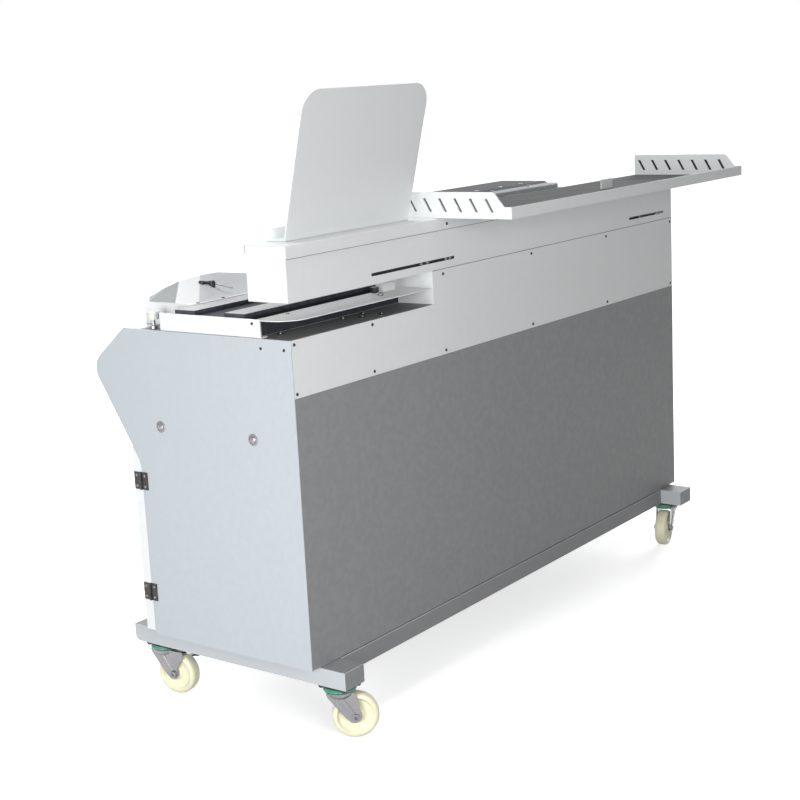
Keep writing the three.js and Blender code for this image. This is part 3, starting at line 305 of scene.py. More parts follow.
BARE = (0.55, 0.56, 0.57)
DARK_EDGE = (0.35, 0.35, 0.35, 1)
SMOOTH_COAT = {"Clouding": 0.004, "Peel": 1100.0, "Handling": 0.01}

LOOKS = {
    "white_paint": finish("white_powder_coat", (0.84, 0.86, 0.865), 0.42, "coat",
                          SMOOTH_COAT, 2e-6, worn=((0.7, 0.7, 0.7), 0.15), dust=0.06,
                          Specular_IOR_Level=0.3),
    "light_paint": finish("light_grey_powder_coat", (0.52, 0.56, 0.6), 0.44, "coat",
                          SMOOTH_COAT, 2e-6, worn=((0.75, 0.77, 0.78), 0.15), dust=0.02,
                          Specular_IOR_Level=0.3),
    "grey_paint": finish("mid_grey_powder_coat", (0.272, 0.276, 0.282), 0.48, "coat",
                         {"Clouding": 0.005, "Peel": 1100.0, "Handling": 0.01}, 2e-6,
                         worn=((0.5, 0.5, 0.5), 0.2), Specular_IOR_Level=0.2),
    "frame_paint": finish("frame_powder_coat", (0.56, 0.59, 0.62), 0.46, "coat",
                          {"Clouding": 0.04, "Peel": 800.0}, 4e-6, worn=(BARE, 0.3), dust=0.15,
                          Specular_IOR_Level=0.3),
    "dark_steel": finish("blackened_steel", (0.032, 0.038, 0.05), 0.5, "grain",
                         {"Stretch": 60.0, "Contrast": 0.2}, 6e-6, worn=(BARE, 0.12), dust=0.03,
                         Specular_IOR_Level=0.3),
    "steel": finish("ground_steel", (0.5, 0.51, 0.52), 0.28, "grain",
                    {"Stretch": 30.0, "Contrast": 0.25}, 6e-6, metal=1.0, worn=((0.8, 0.8, 0.8), 0.3)),
    "zinc": finish("bright_zinc_plate", (0.29, 0.285, 0.3), 0.27, "mould",
                   {"Pebble": 260.0, "Mottle": 0.2}, 8e-6, metal=1.0, worn=((0.3, 0.3, 0.3), 0.3)),
    "aluminium": finish("milled_aluminium", (0.62, 0.62, 0.63), 0.3, "grain",
                        {"Stretch": 20.0, "Contrast": 0.2, "Fineness": 400.0}, 5e-6, metal=1.0, dust=0.15),
    "cast_iron": finish("painted_casting", (0.085, 0.09, 0.097), 0.5, "mould",
                        {"Pebble": 350.0, "Mottle": 0.3}, 3e-5, metal=0.2, worn=(BARE, 0.5), dust=0.15),
    "motor_paint": finish("motor_enamel", (0.075, 0.095, 0.13), 0.45, "mould",
                          {"Pebble": 300.0, "Mottle": 0.2}, 2e-5, worn=(BARE, 0.4), dust=0.2),
    "black_plastic": finish("black_moulding", (0.012, 0.012, 0.013), 0.42, "mould",
                            {"Pebble": 900.0, "Mottle": 0.3}, 1e-5, worn=((0.08, 0.08, 0.08), 0.4)),
    "nylon": finish("cream_nylon", (0.9, 0.875, 0.64), 0.4, "mould",
                    {"Pebble": 500.0, "Mottle": 0.06}, 8e-6, dust=0.08,
                    Subsurface_Weight=0.12, Subsurface_Scale=0.004),
    "rubber": finish("belt_rubber", (0.014, 0.014, 0.014), 0.7, "mould",
                     {"Pebble": 800.0, "Mottle": 0.3}, 1.5e-5, dust=0.2),
    "ring_green": finish("green_enamel", (0.045, 0.3, 0.19), 0.35, "coat",
                         {"Clouding": 0.2, "Peel": 700.0}, 8e-6, worn=(BARE, 0.6), dust=0.1),
    "screen": finish("screen_glass", (0.006, 0.008, 0.011), 0.08, "coat",
                     {"Clouding": 0.1, "Peel": 60.0, "Handling": 0.1}, 1e-6, Coat_Weight=0.5),
    "green_plastic": finish("green_moulding", (0.025, 0.32, 0.075), 0.32, "mould",
                            {"Pebble": 900.0, "Mottle": 0.1}, 6e-6, worn=((0.3, 0.5, 0.35), 0.3)),
    "red_plastic": finish("red_moulding", (0.55, 0.018, 0.012), 0.3, "mould",
                          {"Pebble": 900.0, "Mottle": 0.1}, 6e-6, worn=((0.6, 0.3, 0.28), 0.3)),
}

# Finishes of single faces, beside the record's material slots

TABLE_STEEL = finish("brushed_table_steel", (0.15, 0.152, 0.155), 0.45, "grain",
                     {"Stretch": 80.0, "Contrast": 0.3, "Fineness": 420.0}, 6e-6, metal=0.85,
                     Specular_Tint=DARK_EDGE)
COVER_STEEL = finish("dull_cover_steel", (0.14, 0.143, 0.147), 0.45, "grain",
                     {"Stretch": 60.0, "Contrast": 0.25}, 6e-6, metal=0.7, worn=(BARE, 0.2),
                     Specular_Tint=DARK_EDGE)
# Bright steel on the clamp cover's rear-facing faces: a painted highlight along the hem
HEM_PAINTED_HIGHLIGHT = finish("hem_painted_highlight", (0.5, 0.51, 0.52), 0.4, "grain",
                   {"Stretch": 60.0, "Contrast": 0.2}, 6e-6, metal=0.3)
# Dark grey deck: its tone is darkened to paint in the shade that falls under the rear tray and the housing
DECK_GREY_AND_SHADE = finish("deck_grey_and_painted_shade", (0.2, 0.205, 0.21), 0.5, "coat",
                   {"Clouding": 0.02, "Peel": 900.0}, 3e-6, dust=0.08, Specular_IOR_Level=0.15)
# Near-black for the nip table: painted shade for the gap between the press plates, in place of the table's own
# light metal
NIP_GAP_PAINTED_SHADE = finish("nip_gap_painted_shade", (0.02, 0.024, 0.03), 0.6, "grain",
                   {"Stretch": 40.0, "Contrast": 0.2}, 5e-6, Specular_IOR_Level=0.15)
PLATE_TOP = finish("ground_plate_top", (0.33, 0.335, 0.345), 0.38, "grain",
                   {"Stretch": 60.0, "Contrast": 0.25}, 6e-6, metal=0.3, worn=(BARE, 0.2))
# Grey for the hood's end facets: painted shade on the side of the roof that gets less light
HOOD_SHADE_GREY = finish("hood_end_painted_shade", (0.36, 0.385, 0.385), 0.42, "coat", SMOOTH_COAT, 2e-6,
                  Specular_IOR_Level=0.3)
BEAM_PLUG = finish("grey_beam_plug", (0.24, 0.25, 0.26), 0.5, "mould", {"Pebble": 600.0, "Mottle": 0.1}, 8e-6)
PALE_CAP = finish("pale_knob_cap", (0.66, 0.72, 0.64), 0.42, "mould",
                  {"Pebble": 500.0, "Mottle": 0.05}, 8e-6, Subsurface_Weight=0.1, Subsurface_Scale=0.004)
YELLOW = finish("yellow_moulding", (0.75, 0.5, 0.02), 0.4, "mould", {"Pebble": 900.0}, 8e-6)

# Mesh helpers


def rounded(corners, steps=4):
    """Points of a closed outline from corners (u, v, radius)."""
    points = []
    count = len(corners)
    for index, corner in enumerate(corners):
        radius = corner[2] if len(corner) > 2 else 0
        here = Vector(corner[:2])
        if not radius:
            points.append(here)
            continue
        back = (Vector(corners[index - 1][:2]) - here).normalized()
        ahead = (Vector(corners[(index + 1) % count][:2]) - here).normalized()
        half = math.acos(max(-1, min(1, back.dot(ahead)))) / 2
        middle = here + (back + ahead).normalized() * radius / math.sin(half)
        start = here + back * radius / math.tan(half) - middle
        end = here + ahead * radius / math.tan(half) - middle
        turn = start.angle_signed(end)
        for step in range(steps + 1):
            spun = start.copy()
            spun.rotate(Matrix.Rotation(-turn * step / steps, 2))
            points.append(middle + spun)
    return points


def box_outline(width, height, radius=0):
    half_w, half_h = width / 2, height / 2
    signs = ((-1, -1), (1, -1), (1, 1), (-1, 1))
    return [(u * half_w, v * half_h, radius) for u, v in signs]


LAY = {
    "x": lambda u, v, w: Vector((w, u, v)),
    "y": lambda u, v, w: Vector((u, w, v)),
    "z": lambda u, v, w: Vector((u, v, w)),
}


def in_metres(outline):
    return [point * MM for point in outline]


def slab(points, axis, low, high):
    """A closed prism of an outline, along an axis from low to high."""
    bm = bmesh.new()
    lay = LAY[axis]
    rings = [[bm.verts.new(lay(p[0], p[1], w)) for p in points] for w in (low, high)]
    bm.faces.new(rings[0])
    bm.faces.new(rings[1])
    for index in range(len(points)):
        after = (index + 1) % len(points)
        bm.faces.new((rings[0][index], rings[0][after], rings[1][after], rings[1][index]))
    bmesh.ops.recalc_face_normals(bm, faces=bm.faces)
    return bm


def turned(profile, steps=48, axis="z"):
    """A closed turned piece from (radius, height) points that start and end on the axis, or form a ring."""
    bm = bmesh.new()
    ring_shaped = profile[0][0] > 0
    rings = []
    for radius, height in profile:
        if radius == 0:
            rings.append([bm.verts.new((0, 0, height))])
            continue
        ring = []
        for s in range(steps):
            angle = math.tau * s / steps
            ring.append(bm.verts.new((radius * math.cos(angle), radius * math.sin(angle), height)))
        rings.append(ring)
    pairs = list(zip(rings, rings[1:]))
    if ring_shaped:
        pairs.append((rings[-1], rings[0]))
    for first, second in pairs:
        for s in range(steps):
            after = (s + 1) % steps
            corners = [first[s % len(first)], first[after % len(first)],
                       second[after % len(second)], second[s % len(second)]]
            unique = [v for i, v in enumerate(corners) if v not in corners[:i]]
            if len(unique) > 2:
                bm.faces.new(unique)
    if axis == "y":
        spin = UP.rotation_difference(Vector((0, 1, 0))).to_matrix()
        bmesh.ops.rotate(bm, verts=bm.verts, matrix=spin)
    bmesh.ops.recalc_face_normals(bm, faces=bm.faces)
    return bm


CREASE = math.radians(32)


def soften(bm, width, segments=2):
    """Rounds every edge sharper than a crease."""
    edges = [e for e in bm.edges if len(e.link_faces) == 2 and e.calc_face_angle(0) > CREASE]
    bmesh.ops.bevel(bm, geom=edges, offset=width, segments=segments, profile=0.5,
                    affect="EDGES", clamp_overlap=True)
    return bm


def moved(bm, matrix):
    bmesh.ops.transform(bm, matrix=matrix, verts=bm.verts)
    return bm


MILLIMETRES = Matrix.Scale(MM, 4)


def scaled(bm):
    return moved(bm, MILLIMETRES)


def ridged(bm, beyond, share):
    """Draws what lies beyond a radius in towards the z axis, by a share for each angle."""
    for vertex in bm.verts:
        if vertex.co.xy.length > beyond:
            factor = share(math.atan2(vertex.co.y, vertex.co.x))
            vertex.co.x *= factor
            vertex.co.y *= factor
    return bm


def stored(name, bm):
    """A mesh of the shape; the shape is used up."""
    mesh = bpy.data.meshes.new(name)
    bm.to_mesh(mesh)
    bm.free()
    return mesh


def joined(*parts):
    """One shape of several closed shells; the parts are used up."""
    whole = bmesh.new()
    for part in parts:
        spare = stored("spare", part)
        whole.from_mesh(spare)
        bpy.data.meshes.remove(spare)
    return whole


def carved(body, *tools):
    """The body with the tools cut out of it."""
    holder = loose_object("carved", body)
    cutters = [loose_object("cutter", tool) for tool in tools]
    for tool in cutters:
        cut = holder.modifiers.new("cut", "BOOLEAN")
        cut.operation = "DIFFERENCE"
        cut.solver = "EXACT"
        cut.object = tool
    graph = bpy.context.evaluated_depsgraph_get()
    result = bmesh.new()
    result.from_mesh(holder.evaluated_get(graph).data)
    for spare in (holder, *cutters):
        bpy.data.objects.remove(spare)
    return result


def loose_object(name, bm):
    item = bpy.data.objects.new(name, stored(name, bm))
    scene.collection.objects.link(item)
    return item


def add_piece(name, bm, body, slot, looks=None, stands_for=()):
    """Makes a piece of a mesh, gives it its finish, and lets it ride on a body."""
    item = loose_object(name, bm)
    item.data.shade_smooth()
    item.data.set_sharp_from_angle(angle=CREASE)
    for look in looks or [LOOKS[slot]]:
        item.data.materials.append(look)
    even = item.modifiers.new("even_normals", "WEIGHTED_NORMAL")
    even.keep_sharp = True
    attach(item, body)
    if stands_for:
        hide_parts(*stands_for)


def box_mesh(low, high):
    low, high = Vector(low), Vector(high)
    bm = bmesh.new()
    bmesh.ops.create_cube(bm, size=1)
    bmesh.ops.scale(bm, vec=high - low, verts=bm.verts)
    bmesh.ops.translate(bm, vec=(low + high) / 2, verts=bm.verts)
    return bm


# Sheet and cast pieces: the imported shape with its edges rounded


def clean_copy(node):
    bm = bmesh.new()
    bm.from_mesh(nodes[node].data)
    bmesh.ops.remove_doubles(bm, verts=bm.verts, dist=1e-6)
    bmesh.ops.dissolve_limit(bm, angle_limit=math.radians(0.6), verts=bm.verts, edges=bm.edges)
    return bm


def dress(node, width, looks=None, choose=None):
    """The node's own shape with rounded edges; choose picks a finish for each face."""
    bm = clean_copy(node)
    if choose:
        for face in bm.faces:
            face.material_index = choose(face)
    add_piece(node + "_piece", soften(bm, width), body_of[node], slot_of[node], looks, (node,))


EDGE_WIDTHS = {
    "bottom_plate": 0.4, "left_end_panel": 0.5, "right_end_panel": 0.5,
    "rear_lower_panel": 0.5, "rear_upper_panel": 0.5, "console_panel": 0.5,
    "front_door_nip": 1.0, "front_door_load": 1.0, "upper_housing": 0.6, "housing_cover": 0.5,
    "book_support_plate": 0.8, "support_bracket": 0.5, "nip_end_plate": 0.5,
    "nip_lift_drive": 2.0,
    "carriage_frame": 1.5, "moving_jaw": 1.0, "jaw_actuator": 2.0, "glue_tank": 0.8, "guide_rail": 0.8,
}

for node, width in EDGE_WIDTHS.items():
    dress(node, width * MM)

dress("deck_plate", 0.4 * MM, [DECK_GREY_AND_SHADE])
# The nip table is painted near black as the shade in the gap between the press plates
dress("nip_table", 0.8 * MM, [NIP_GAP_PAINTED_SHADE])

# Pieces with more than one finish, told apart by how squarely a face looks somewhere and where it lies

SQUARE = 0.9
TOWARDS = 0.7

floor_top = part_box("cover_table")[0].z + 4 * MM


def table_finish(face):
    return 1 if face.normal.z > SQUARE and face.calc_center_median().z < floor_top else 0


dress("cover_table", 0.5 * MM, [LOOKS["white_paint"], TABLE_STEEL], table_finish)


def plate_finish(face):
    return 1 if face.normal.z > SQUARE else 0


for press_plate in ("front_press_plate", "rear_press_plate"):
    dress(press_plate, 1 * MM, [LOOKS["dark_steel"], PLATE_TOP], plate_finish)

beam_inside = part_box("base_frame")[1].x - 120 * MM


def frame_finish(face):
    if abs(face.calc_center_median().x) < beam_inside:
        return 1
    return 2 if abs(face.normal.y) > SQUARE else 0


dress("base_frame", 2.5 * MM, [LOOKS["frame_paint"], LOOKS["grey_paint"], BEAM_PLUG], frame_finish)

web_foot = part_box("rear_cover_tray")[1].z - 3 * MM


# The tray's web below its top gets blackened steel as painted shade under the tray
def tray_web_shade_finish(face):
    return 1 if face.calc_center_median().z < web_foot else 0


dress("rear_cover_tray", 0.5 * MM, [LOOKS["white_paint"], LOOKS["dark_steel"]], tray_web_shade_finish)

shelf_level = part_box("jaw_cover")[1].z - 3 * MM


# Rear-facing faces of the clamp cover take the painted hem highlight; upward faces below the shelf take the ground
# plate top
def cover_finish(face):
    if face.normal.y > TOWARDS:
        return 1
    return 2 if face.normal.z > TOWARDS and face.calc_center_median().z < shelf_level else 0


dress("jaw_cover", 0.4 * MM, [COVER_STEEL, HEM_PAINTED_HIGHLIGHT, PLATE_TOP], cover_finish)

# Screws, bolts and plugs, each made once with its recess and set many times


def make_pan_head():
    head = turned([(0, -0.3), (0.98, -0.3), (1, 0), (0.97, 0.22), (0.82, 0.42), (0.5, 0.54), (0, 0.57)], 20)
    cross = [box_mesh((-u, -v, 0.2), (u, v, 1)) for u, v in ((0.62, 0.13), (0.13, 0.62))]
    return carved(head, *cross)


def make_socket_head():
    head = turned([(0, -0.3), (1, -0.3), (1, 0.82), (0.9, 0.95), (0, 0.95)], 24)
    return carved(head, turned([(0, 0.4), (0.52, 0.4), (0.52, 1.2), (0, 1.2)], 6))


def make_hex_head():
    return turned([(0, -0.3), (1, -0.3), (1, 0.5), (0.86, 0.62), (0, 0.62)], 6)


def make_cap_plug():
    return turned([(0, -0.05), (1, -0.05), (1, 0.06), (0.93, 0.12), (0.74, 0.14), (0.7, 0.06), (0.64, 0.06),
                   (0.6, 0.16), (0.34, 0.27), (0, 0.3)], 40)


HEADS = {
    "pan": stored("pan_head", make_pan_head()),
    "socket": stored("socket_head", make_socket_head()),
    "hex": stored("hex_head", make_hex_head()),
    "plug": stored("cap_plug", make_cap_plug()),
}
OUT = {
    "rear": Vector((0, 1, 0)), "front": Vector((0, -1, 0)), "nip": Vector((1, 0, 0)),
    "load": Vector((-1, 0, 0)), "up": UP, "down": -UP,
}


def facing(direction):
    """The turn from standing up to looking in a named direction."""
    return UP.rotation_difference(OUT[direction]).to_matrix().to_4x4()


def fasteners(name, body, slot, head, radius, direction, places):
    """Equal screws at several places, each turned a little differently, as they are after tightening."""
    lean = facing(direction)
    whole = bmesh.new()
    for index, place in enumerate(places):
        spin = Matrix.Rotation(index * 1.1 + 0.4, 4, "Z")
        copy = HEADS[head].copy()
        copy.transform(Matrix.Translation(place) @ lean @ spin @ Matrix.Scale(radius * MM, 4))
        whole.from_mesh(copy)
        bpy.data.meshes.remove(copy)
    add_piece(name, whole, body, slot)


SEAM_SCREW = 3.6
CORNER_SCREW = 3.2
PLUG = 13

fasteners("rear_lower_seam_screws", "cabinet", "dark_steel", "pan", SEAM_SCREW, "rear",
          [spot(along, 0, LOWER_SEAM_SCREWS) for along in (10, 266, 535, 911, 1287, 1655)])
fasteners("rear_top_screws", "cabinet", "dark_steel", "pan", SEAM_SCREW, "rear",
          [spot(along, 0, NOTCH_SCREWS) for along in (10, 267)]
          + [spot(along, 0, UPPER_SEAM_SCREWS) for along in (535, 913, 1287, 1655)])
cover_back = (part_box("housing_cover")[1].y - rear_y) / MM
fasteners("cover_flange_screws", "cabinet", "dark_steel", "pan", SEAM_SCREW, "rear",
          [spot(along, -cover_back, LID_SCREWS) for along in (555, 1579)])
fasteners("end_corner_screws", "cabinet", "black_plastic", "pan", CORNER_SCREW, "nip",
          [spot(0, across, END_CORNER_SCREWS) for across in (81, 19)])
fasteners("end_plugs", "cabinet", "zinc", "plug", PLUG, "nip", [spot(0, *place) for place in END_PLUGS])
end_mirror = (nip_x - load_x) / MM
fasteners("load_end_plugs", "cabinet", "zinc", "plug", PLUG, "load",
          [spot(end_mirror, *place) for place in END_PLUGS])
LOAD_CORNERS = ((81, END_CORNER_SCREWS), (19, END_CORNER_SCREWS), (19, 755))
fasteners("load_corner_screws", "cabinet", "black_plastic", "pan", CORNER_SCREW, "load",
          [spot(end_mirror, *place) for place in LOAD_CORNERS])
DECK_BOLTS = [spot(*place, DECK) for place in ((61, 78), (261, 74), (297, 50), (332, 75), (345, 33))]
fasteners("deck_screws", "cabinet", "zinc", "socket", 4.2, "up", DECK_BOLTS)
# Black rings round the deck bolts: painted shade round each bolt head
fasteners("deck_bolt_shade_rings", "cabinet", "black_plastic", "plug", 7.5, "up", DECK_BOLTS)
tray_rise = (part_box("rear_cover_tray")[1].z - sill_z) / MM
fasteners("tray_screws", "cabinet", "zinc", "pan", 4.5, "up", [spot(90, 82, tray_rise)])
fasteners("nip_end_screw", "cabinet", "black_plastic", "pan", CORNER_SCREW, "nip", [spot(0, 100, 730)])

# Bolts that show in the two housing slots

SLOT_DEPTH = 2.5


def slot_bolts(name, places):
    fasteners(name, "cabinet", "zinc", "socket", 3.2, "rear",
              [spot(along, SLOT_DEPTH, HOUSING_SLOT) for along in places])


slot_bolts("long_slot_bolts", (455, 479, 550, 566))
slot_bolts("short_slot_bolts", (1478, 1575))

# A grey seal in the housing's seam, and a grey strip under the lid's rear flange as the flange's painted shadow
# line


def add_grey_strip(name, from_along, to_along, rise, height, stand):
    near, far = spot(from_along, -stand, rise), spot(to_along, 2, rise + height)
    add_piece(name, box_mesh((far.x, far.y, near.z), (near.x, near.y, far.z)), "cabinet", "grey_paint")


add_grey_strip("housing_seam_seal", 495, 1664, HOUSING_SEAM, 1.7, 0.25)
# A painted shadow line under the lid's rear flange
add_grey_strip("lid_flange_painted_shadow", 1, 1665, LID_FLANGE, 1.5, 1.2)

# Door hinges with their barrels and pan-head screws

HINGE = {
    "seat": 0.3, "leaf": 2.2, "leaf_from": 2, "leaf_to": 20, "barrel": 3.1, "pin_gap": 0.8,
    "screw_in": 12, "screw_end": 8, "screw": 3.3,
}


def hinge_leaf(seat_x, side, edges_y, low, high):
    """One flat leaf against the end panel, between two distances off the pin."""
    near, far = sorted(edges_y)
    outline = [(near, low), (far, low), (far, high), (near, high)]
    edges_x = sorted((seat_x, seat_x + side * HINGE["leaf"] * MM))
    return soften(slab(outline, "x", *edges_x), 0.5 * MM)


def hinge_barrel(pin, from_z, to_z):
    radius = HINGE["barrel"] * MM
    ring = turned([(0, from_z), (radius, from_z), (radius, to_z), (0, to_z)], 24)
    return moved(soften(ring, 0.4 * MM), Matrix.Translation((pin[0], pin[1], 0)))


def add_hinge(end, level):
    node, body = f"hinge_{end}_{level}", f"door_{end}"
    side, end_x = (1, nip_x) if end == "nip" else (-1, load_x)
    pin = joints[body + "_hinge"]["pos_m"]
    low, high = (corner.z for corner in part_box(node))
    seat_x = end_x + side * HINGE["seat"] * MM
    cell = (high - low) / 3
    half_gap = HINGE["pin_gap"] / 2 * MM
    reach = [HINGE["leaf_from"] * MM, HINGE["leaf_to"] * MM]
    fixed = joined(
        hinge_leaf(seat_x, side, [pin[1] + r for r in reach], low, high),
        hinge_barrel(pin, low, low + cell - half_gap),
        hinge_barrel(pin, high - cell + half_gap, high),
    )
    add_piece(node + "_fixed_leaf", fixed, "cabinet", "black_plastic", stands_for=(node,))
    swinging = joined(
        hinge_leaf(seat_x, side, [pin[1] - r for r in reach], low, high),
        hinge_barrel(pin, low + cell + half_gap, high - cell - half_gap),
    )
    add_piece(node + "_door_leaf", swinging, body, "black_plastic")
    screw_x = seat_x + side * HINGE["leaf"] * MM
    heights = (low + HINGE["screw_end"] * MM, high - HINGE["screw_end"] * MM)
    screw_in = HINGE["screw_in"]
    for label, offset, owner in (("fixed", screw_in, "cabinet"), ("door", -screw_in, body)):
        fasteners(f"{node}_{label}_screws", owner, "zinc", "pan", HINGE["screw"], end,
                  [Vector((screw_x, pin[1] + offset * MM, z)) for z in heights])


for end in ("nip", "load"):
    for level in ("lower", "upper"):
        add_hinge(end, level)

# Door cam locks near the middle gap

LOCK_HEIGHT = 300


def add_lock(name, body, along):
    collar = turned([(0, -2), (12, -2), (12, 1.2), (10.5, 2.2), (8.2, 2.4), (7.8, 1.6), (0, 1.6)], 40)
    key_slot = box_mesh((-4.5 * MM, -0.6 * MM, 0.4 * MM), (4.5 * MM, 0.6 * MM, 3 * MM))
    lock = carved(scaled(collar), key_slot)
    door_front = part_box("front_door_nip")[0].y
    place = Matrix.Translation((nip_x - along * MM, door_front, sill_z + LOCK_HEIGHT * MM))
    add_piece(name, moved(lock, place @ facing("front")), body, "zinc")


add_lock("door_nip_lock", "door_nip", 800)
add_lock("door_load_lock", "door_load", 868)

# Casters


def caster_frame(name):
    swivel = joints[name + "_swivel_turn"]["pos_m"]
    axle = joints[name + "_wheel_turn"]["axis"]
    yaw = math.atan2(-axle[0], axle[1])
    return Matrix.Translation((swivel[0], swivel[1], 0)) @ Matrix.Rotation(yaw, 4, "Z")


# Sizes of a caster in millimetres: heights from the floor, widths from the middle of the wheel

CASTER = {
    "trail": 30, "axle": 50, "leg_in": 19, "leg_out": 22, "crown_low": 103.9, "crown_top": 107.9,
    "race_low": 108.2, "plate_low": 116.7, "plate_top": 120.7,
    "nut_out": 27, "nut": 8.5, "washer": 9.8, "washer_thickness": 1.2,
    "bolt_along": 24, "bolt_across": 31, "bolt": 5.2, "pedal_along": 52, "pedal": 99.5,
}


def wheel_mesh():
    """A waisted wheel, from one half of its profile and the mirror of it."""
    half = [(6, 15.5), (13, 15.5), (15, 14.5), (17.5, 9), (30, 8), (35.5, 9.5), (38.5, 14), (41, 15.8),
            (45.5, 14.6), (48.6, 11.5), (50, 7)]
    profile = [(radius, -width) for radius, width in half] + half[::-1]
    return turned(profile, 72, "y")


def bearing_mesh():
    profile = [(5.3, 15.4), (10.5, 15.4), (10.5, 17.2), (9.4, 17.8), (8.6, 17.2), (6.8, 17.2), (6, 17.8),
               (5.3, 17.8)]
    return joined(*[
        turned([(radius, side * width) for radius, width in profile], 32, "y") for side in (-1, 1)
    ])


def fork_leg(brake, side):
    """A leg from the crown down round the axle, with a pressed rib; the brake's leg reaches further back."""
    back = [(57, 106), (57, 88), (44, 76), (41, 64)] if brake else [(31, 106), (36, 88), (41, 64)]
    outline = rounded([
        (-31, 106), (-27, 96, 4), (8, 50, 4), (22, 37, 11), (38, 37, 13), (43, 50, 10),
        *[(u, v, 6) for u, v in reversed(back[1:])], back[0],
    ], 6)
    inner, outer = CASTER["leg_in"], CASTER["leg_out"]
    leg = slab(outline, "y", *sorted((side * inner, side * outer)))
    rib = slab(rounded([(-14, 99, 2), (2, 99, 2), (31, 56, 3), (22, 52, 3)], 4), "y",
               *sorted((side * (outer - 0.5), side * (outer + 1.4))))
    return joined(soften(leg, 0.9, 2), soften(rib, 1.2, 3))


def fork_meshes(brake):
    """The crown, the two legs, and the shoulder between crown and legs."""
    low, top = CASTER["crown_low"], CASTER["crown_top"]
    crown = turned([(0, low), (26, low), (31, 104.2), (33, 105.6), (33, 107.2), (31.5, top), (0, top)], 56)
    legs = [fork_leg(brake, side) for side in (-1, 1)]
    shoulder = carved(
        turned([(19.5, 96), (22.5, 92), (30, 99), (32.5, 104), (32.5, 106), (19.5, 106)], 56),
        box_mesh((-60, -18.8, 80), (60, 18.8, 110)),
    )
    return [crown, *legs, shoulder]


def axle_meshes():
    """The axle with a nut and a washer on each side, in the order that they are joined in."""
    reach, inner = CASTER["nut_out"], CASTER["leg_out"]
    result = [soften(turned([(0, -reach), (5, -reach), (5, reach), (0, reach)], 24, "y"), 0.6)]
    for side in (-1, 1):
        low, high = sorted((side * inner, side * reach))
        nut = turned([(0, low), (CASTER["nut"], low), (CASTER["nut"], high), (0, high)], 6, "y")
        face = side * (inner + CASTER["washer_thickness"])
        radius = CASTER["washer"]
        washer = turned([(0, side * inner), (radius, side * inner), (radius, face), (0, face)], 32, "y")
        result += [soften(nut, 0.6), washer]
    return result


def dress_caster(name, brake):
    stand = caster_frame(name)
    centre = Matrix.Translation(stand.to_translation())
    axle = Matrix.Translation((CASTER["trail"], 0, CASTER["axle"]))
    swivel, roll = name + "_swivel", name + "_roll"
    add_piece(name + "_tyre", moved(wheel_mesh(), stand @ MILLIMETRES @ axle), roll, "nylon",
              stands_for=(name + "_wheel",))
    add_piece(name + "_bearings", moved(bearing_mesh(), stand @ MILLIMETRES @ axle), roll, "zinc")
    yoke = joined(*fork_meshes(brake), *[moved(part, axle) for part in axle_meshes()])
    add_piece(name + "_yoke", moved(yoke, stand @ MILLIMETRES), swivel, "zinc", stands_for=(name + "_fork",))
    low = CASTER["race_low"]
    race = turned([(0, low), (30, low), (34.5, 109), (36, 111), (35.6, 113.8), (33.5, 115.4), (33.5, 116.9),
                   (0, 116.9)], 64)
    add_piece(name + "_race", moved(race, centre @ MILLIMETRES), "cabinet", "ring_green",
              stands_for=(name + "_plate",))
    plate = slab(rounded(box_outline(60, 74, 5), 5), "z", CASTER["plate_low"], CASTER["plate_top"])
    add_piece(name + "_top_plate", moved(soften(plate, 0.7), centre @ MILLIMETRES), "cabinet",
              "black_plastic")
    places = [
        centre @ (Vector((x * CASTER["bolt_along"], y * CASTER["bolt_across"], CASTER["plate_low"])) * MM)
        for x in (-1, 1) for y in (-1, 1)
    ]
    fasteners(name + "_bolts", "cabinet", "black_plastic", "hex", CASTER["bolt"], "down", places)
    if brake:
        dress_brake(name, stand @ MILLIMETRES)


def dress_brake(name, stand):
    pivot = stand @ Matrix.Translation((CASTER["pedal_along"], 0, CASTER["pedal"]))
    pedal = name + "_pedal"
    arm_side = [(-2, -1.5), (12, -1.2), (31, 0.4), (31, 3.5), (12, 1.8), (-2, 1.5)]
    arm = slab(arm_side, "y", -12, 12)
    tread_side = [(30, 0.2), (34, 0.6), (50, 3.5, 1), (50.5, 6.5, 1), (34, 3.8), (30, 3.4)]
    tread = slab(rounded(tread_side, 3), "y", -17, 17)
    ribs = []
    for x in (36, 42):
        climb = 0.055 * x
        ribs.append(soften(box_mesh((x, -15, 2.6 + climb), (x + 2, 15, 4.4 + climb)), 0.5))
    pin = turned([(0, -18.7), (3.5, -18.7), (3.5, 18.7), (0, 18.7)], 24, "y")
    add_piece(name + "_pedal_tread", moved(joined(soften(tread, 0.6), *ribs), pivot), pedal, "black_plastic",
              stands_for=(name + "_brake",))
    add_piece(name + "_pedal_arm", moved(joined(soften(arm, 0.6), pin), pivot), pedal, "zinc")


for caster, brake in (("rear_nip_caster", False), ("front_nip_caster", True),
                      ("rear_load_caster", False), ("front_load_caster", True)):
    dress_caster(caster, brake)

# Side-lay knob

KNOB_RIBS = 15


def dress_knob():
    centre = Matrix.Translation(spot(15, 397, DECK))
    stem = turned([(0, 0.3), (8, 0.3), (8, 7), (7.2, 8), (4, 8), (4, 21.2), (0, 21.2)], 32)
    cap = turned([(0, 21), (12.6, 21), (13.5, 22), (13.5, 36.6), (12.4, 37.7), (9, 38), (8.6, 37.4),
                  (0, 37.4)], 60)
    ridged(cap, 13.2, lambda angle: 1 - 0.045 * (0.5 - 0.5 * math.cos(KNOB_RIBS * angle)))
    add_piece("side_lay_knob_cap", moved(scaled(cap), centre), "knob", "nylon", [PALE_CAP],
              ("side_lay_knob",))
    add_piece("side_lay_knob_stem", moved(scaled(stem), centre), "knob", "zinc")


dress_knob()

# Hood: low walls, a folded roof, and a clamp knob with a lever on the rear slope

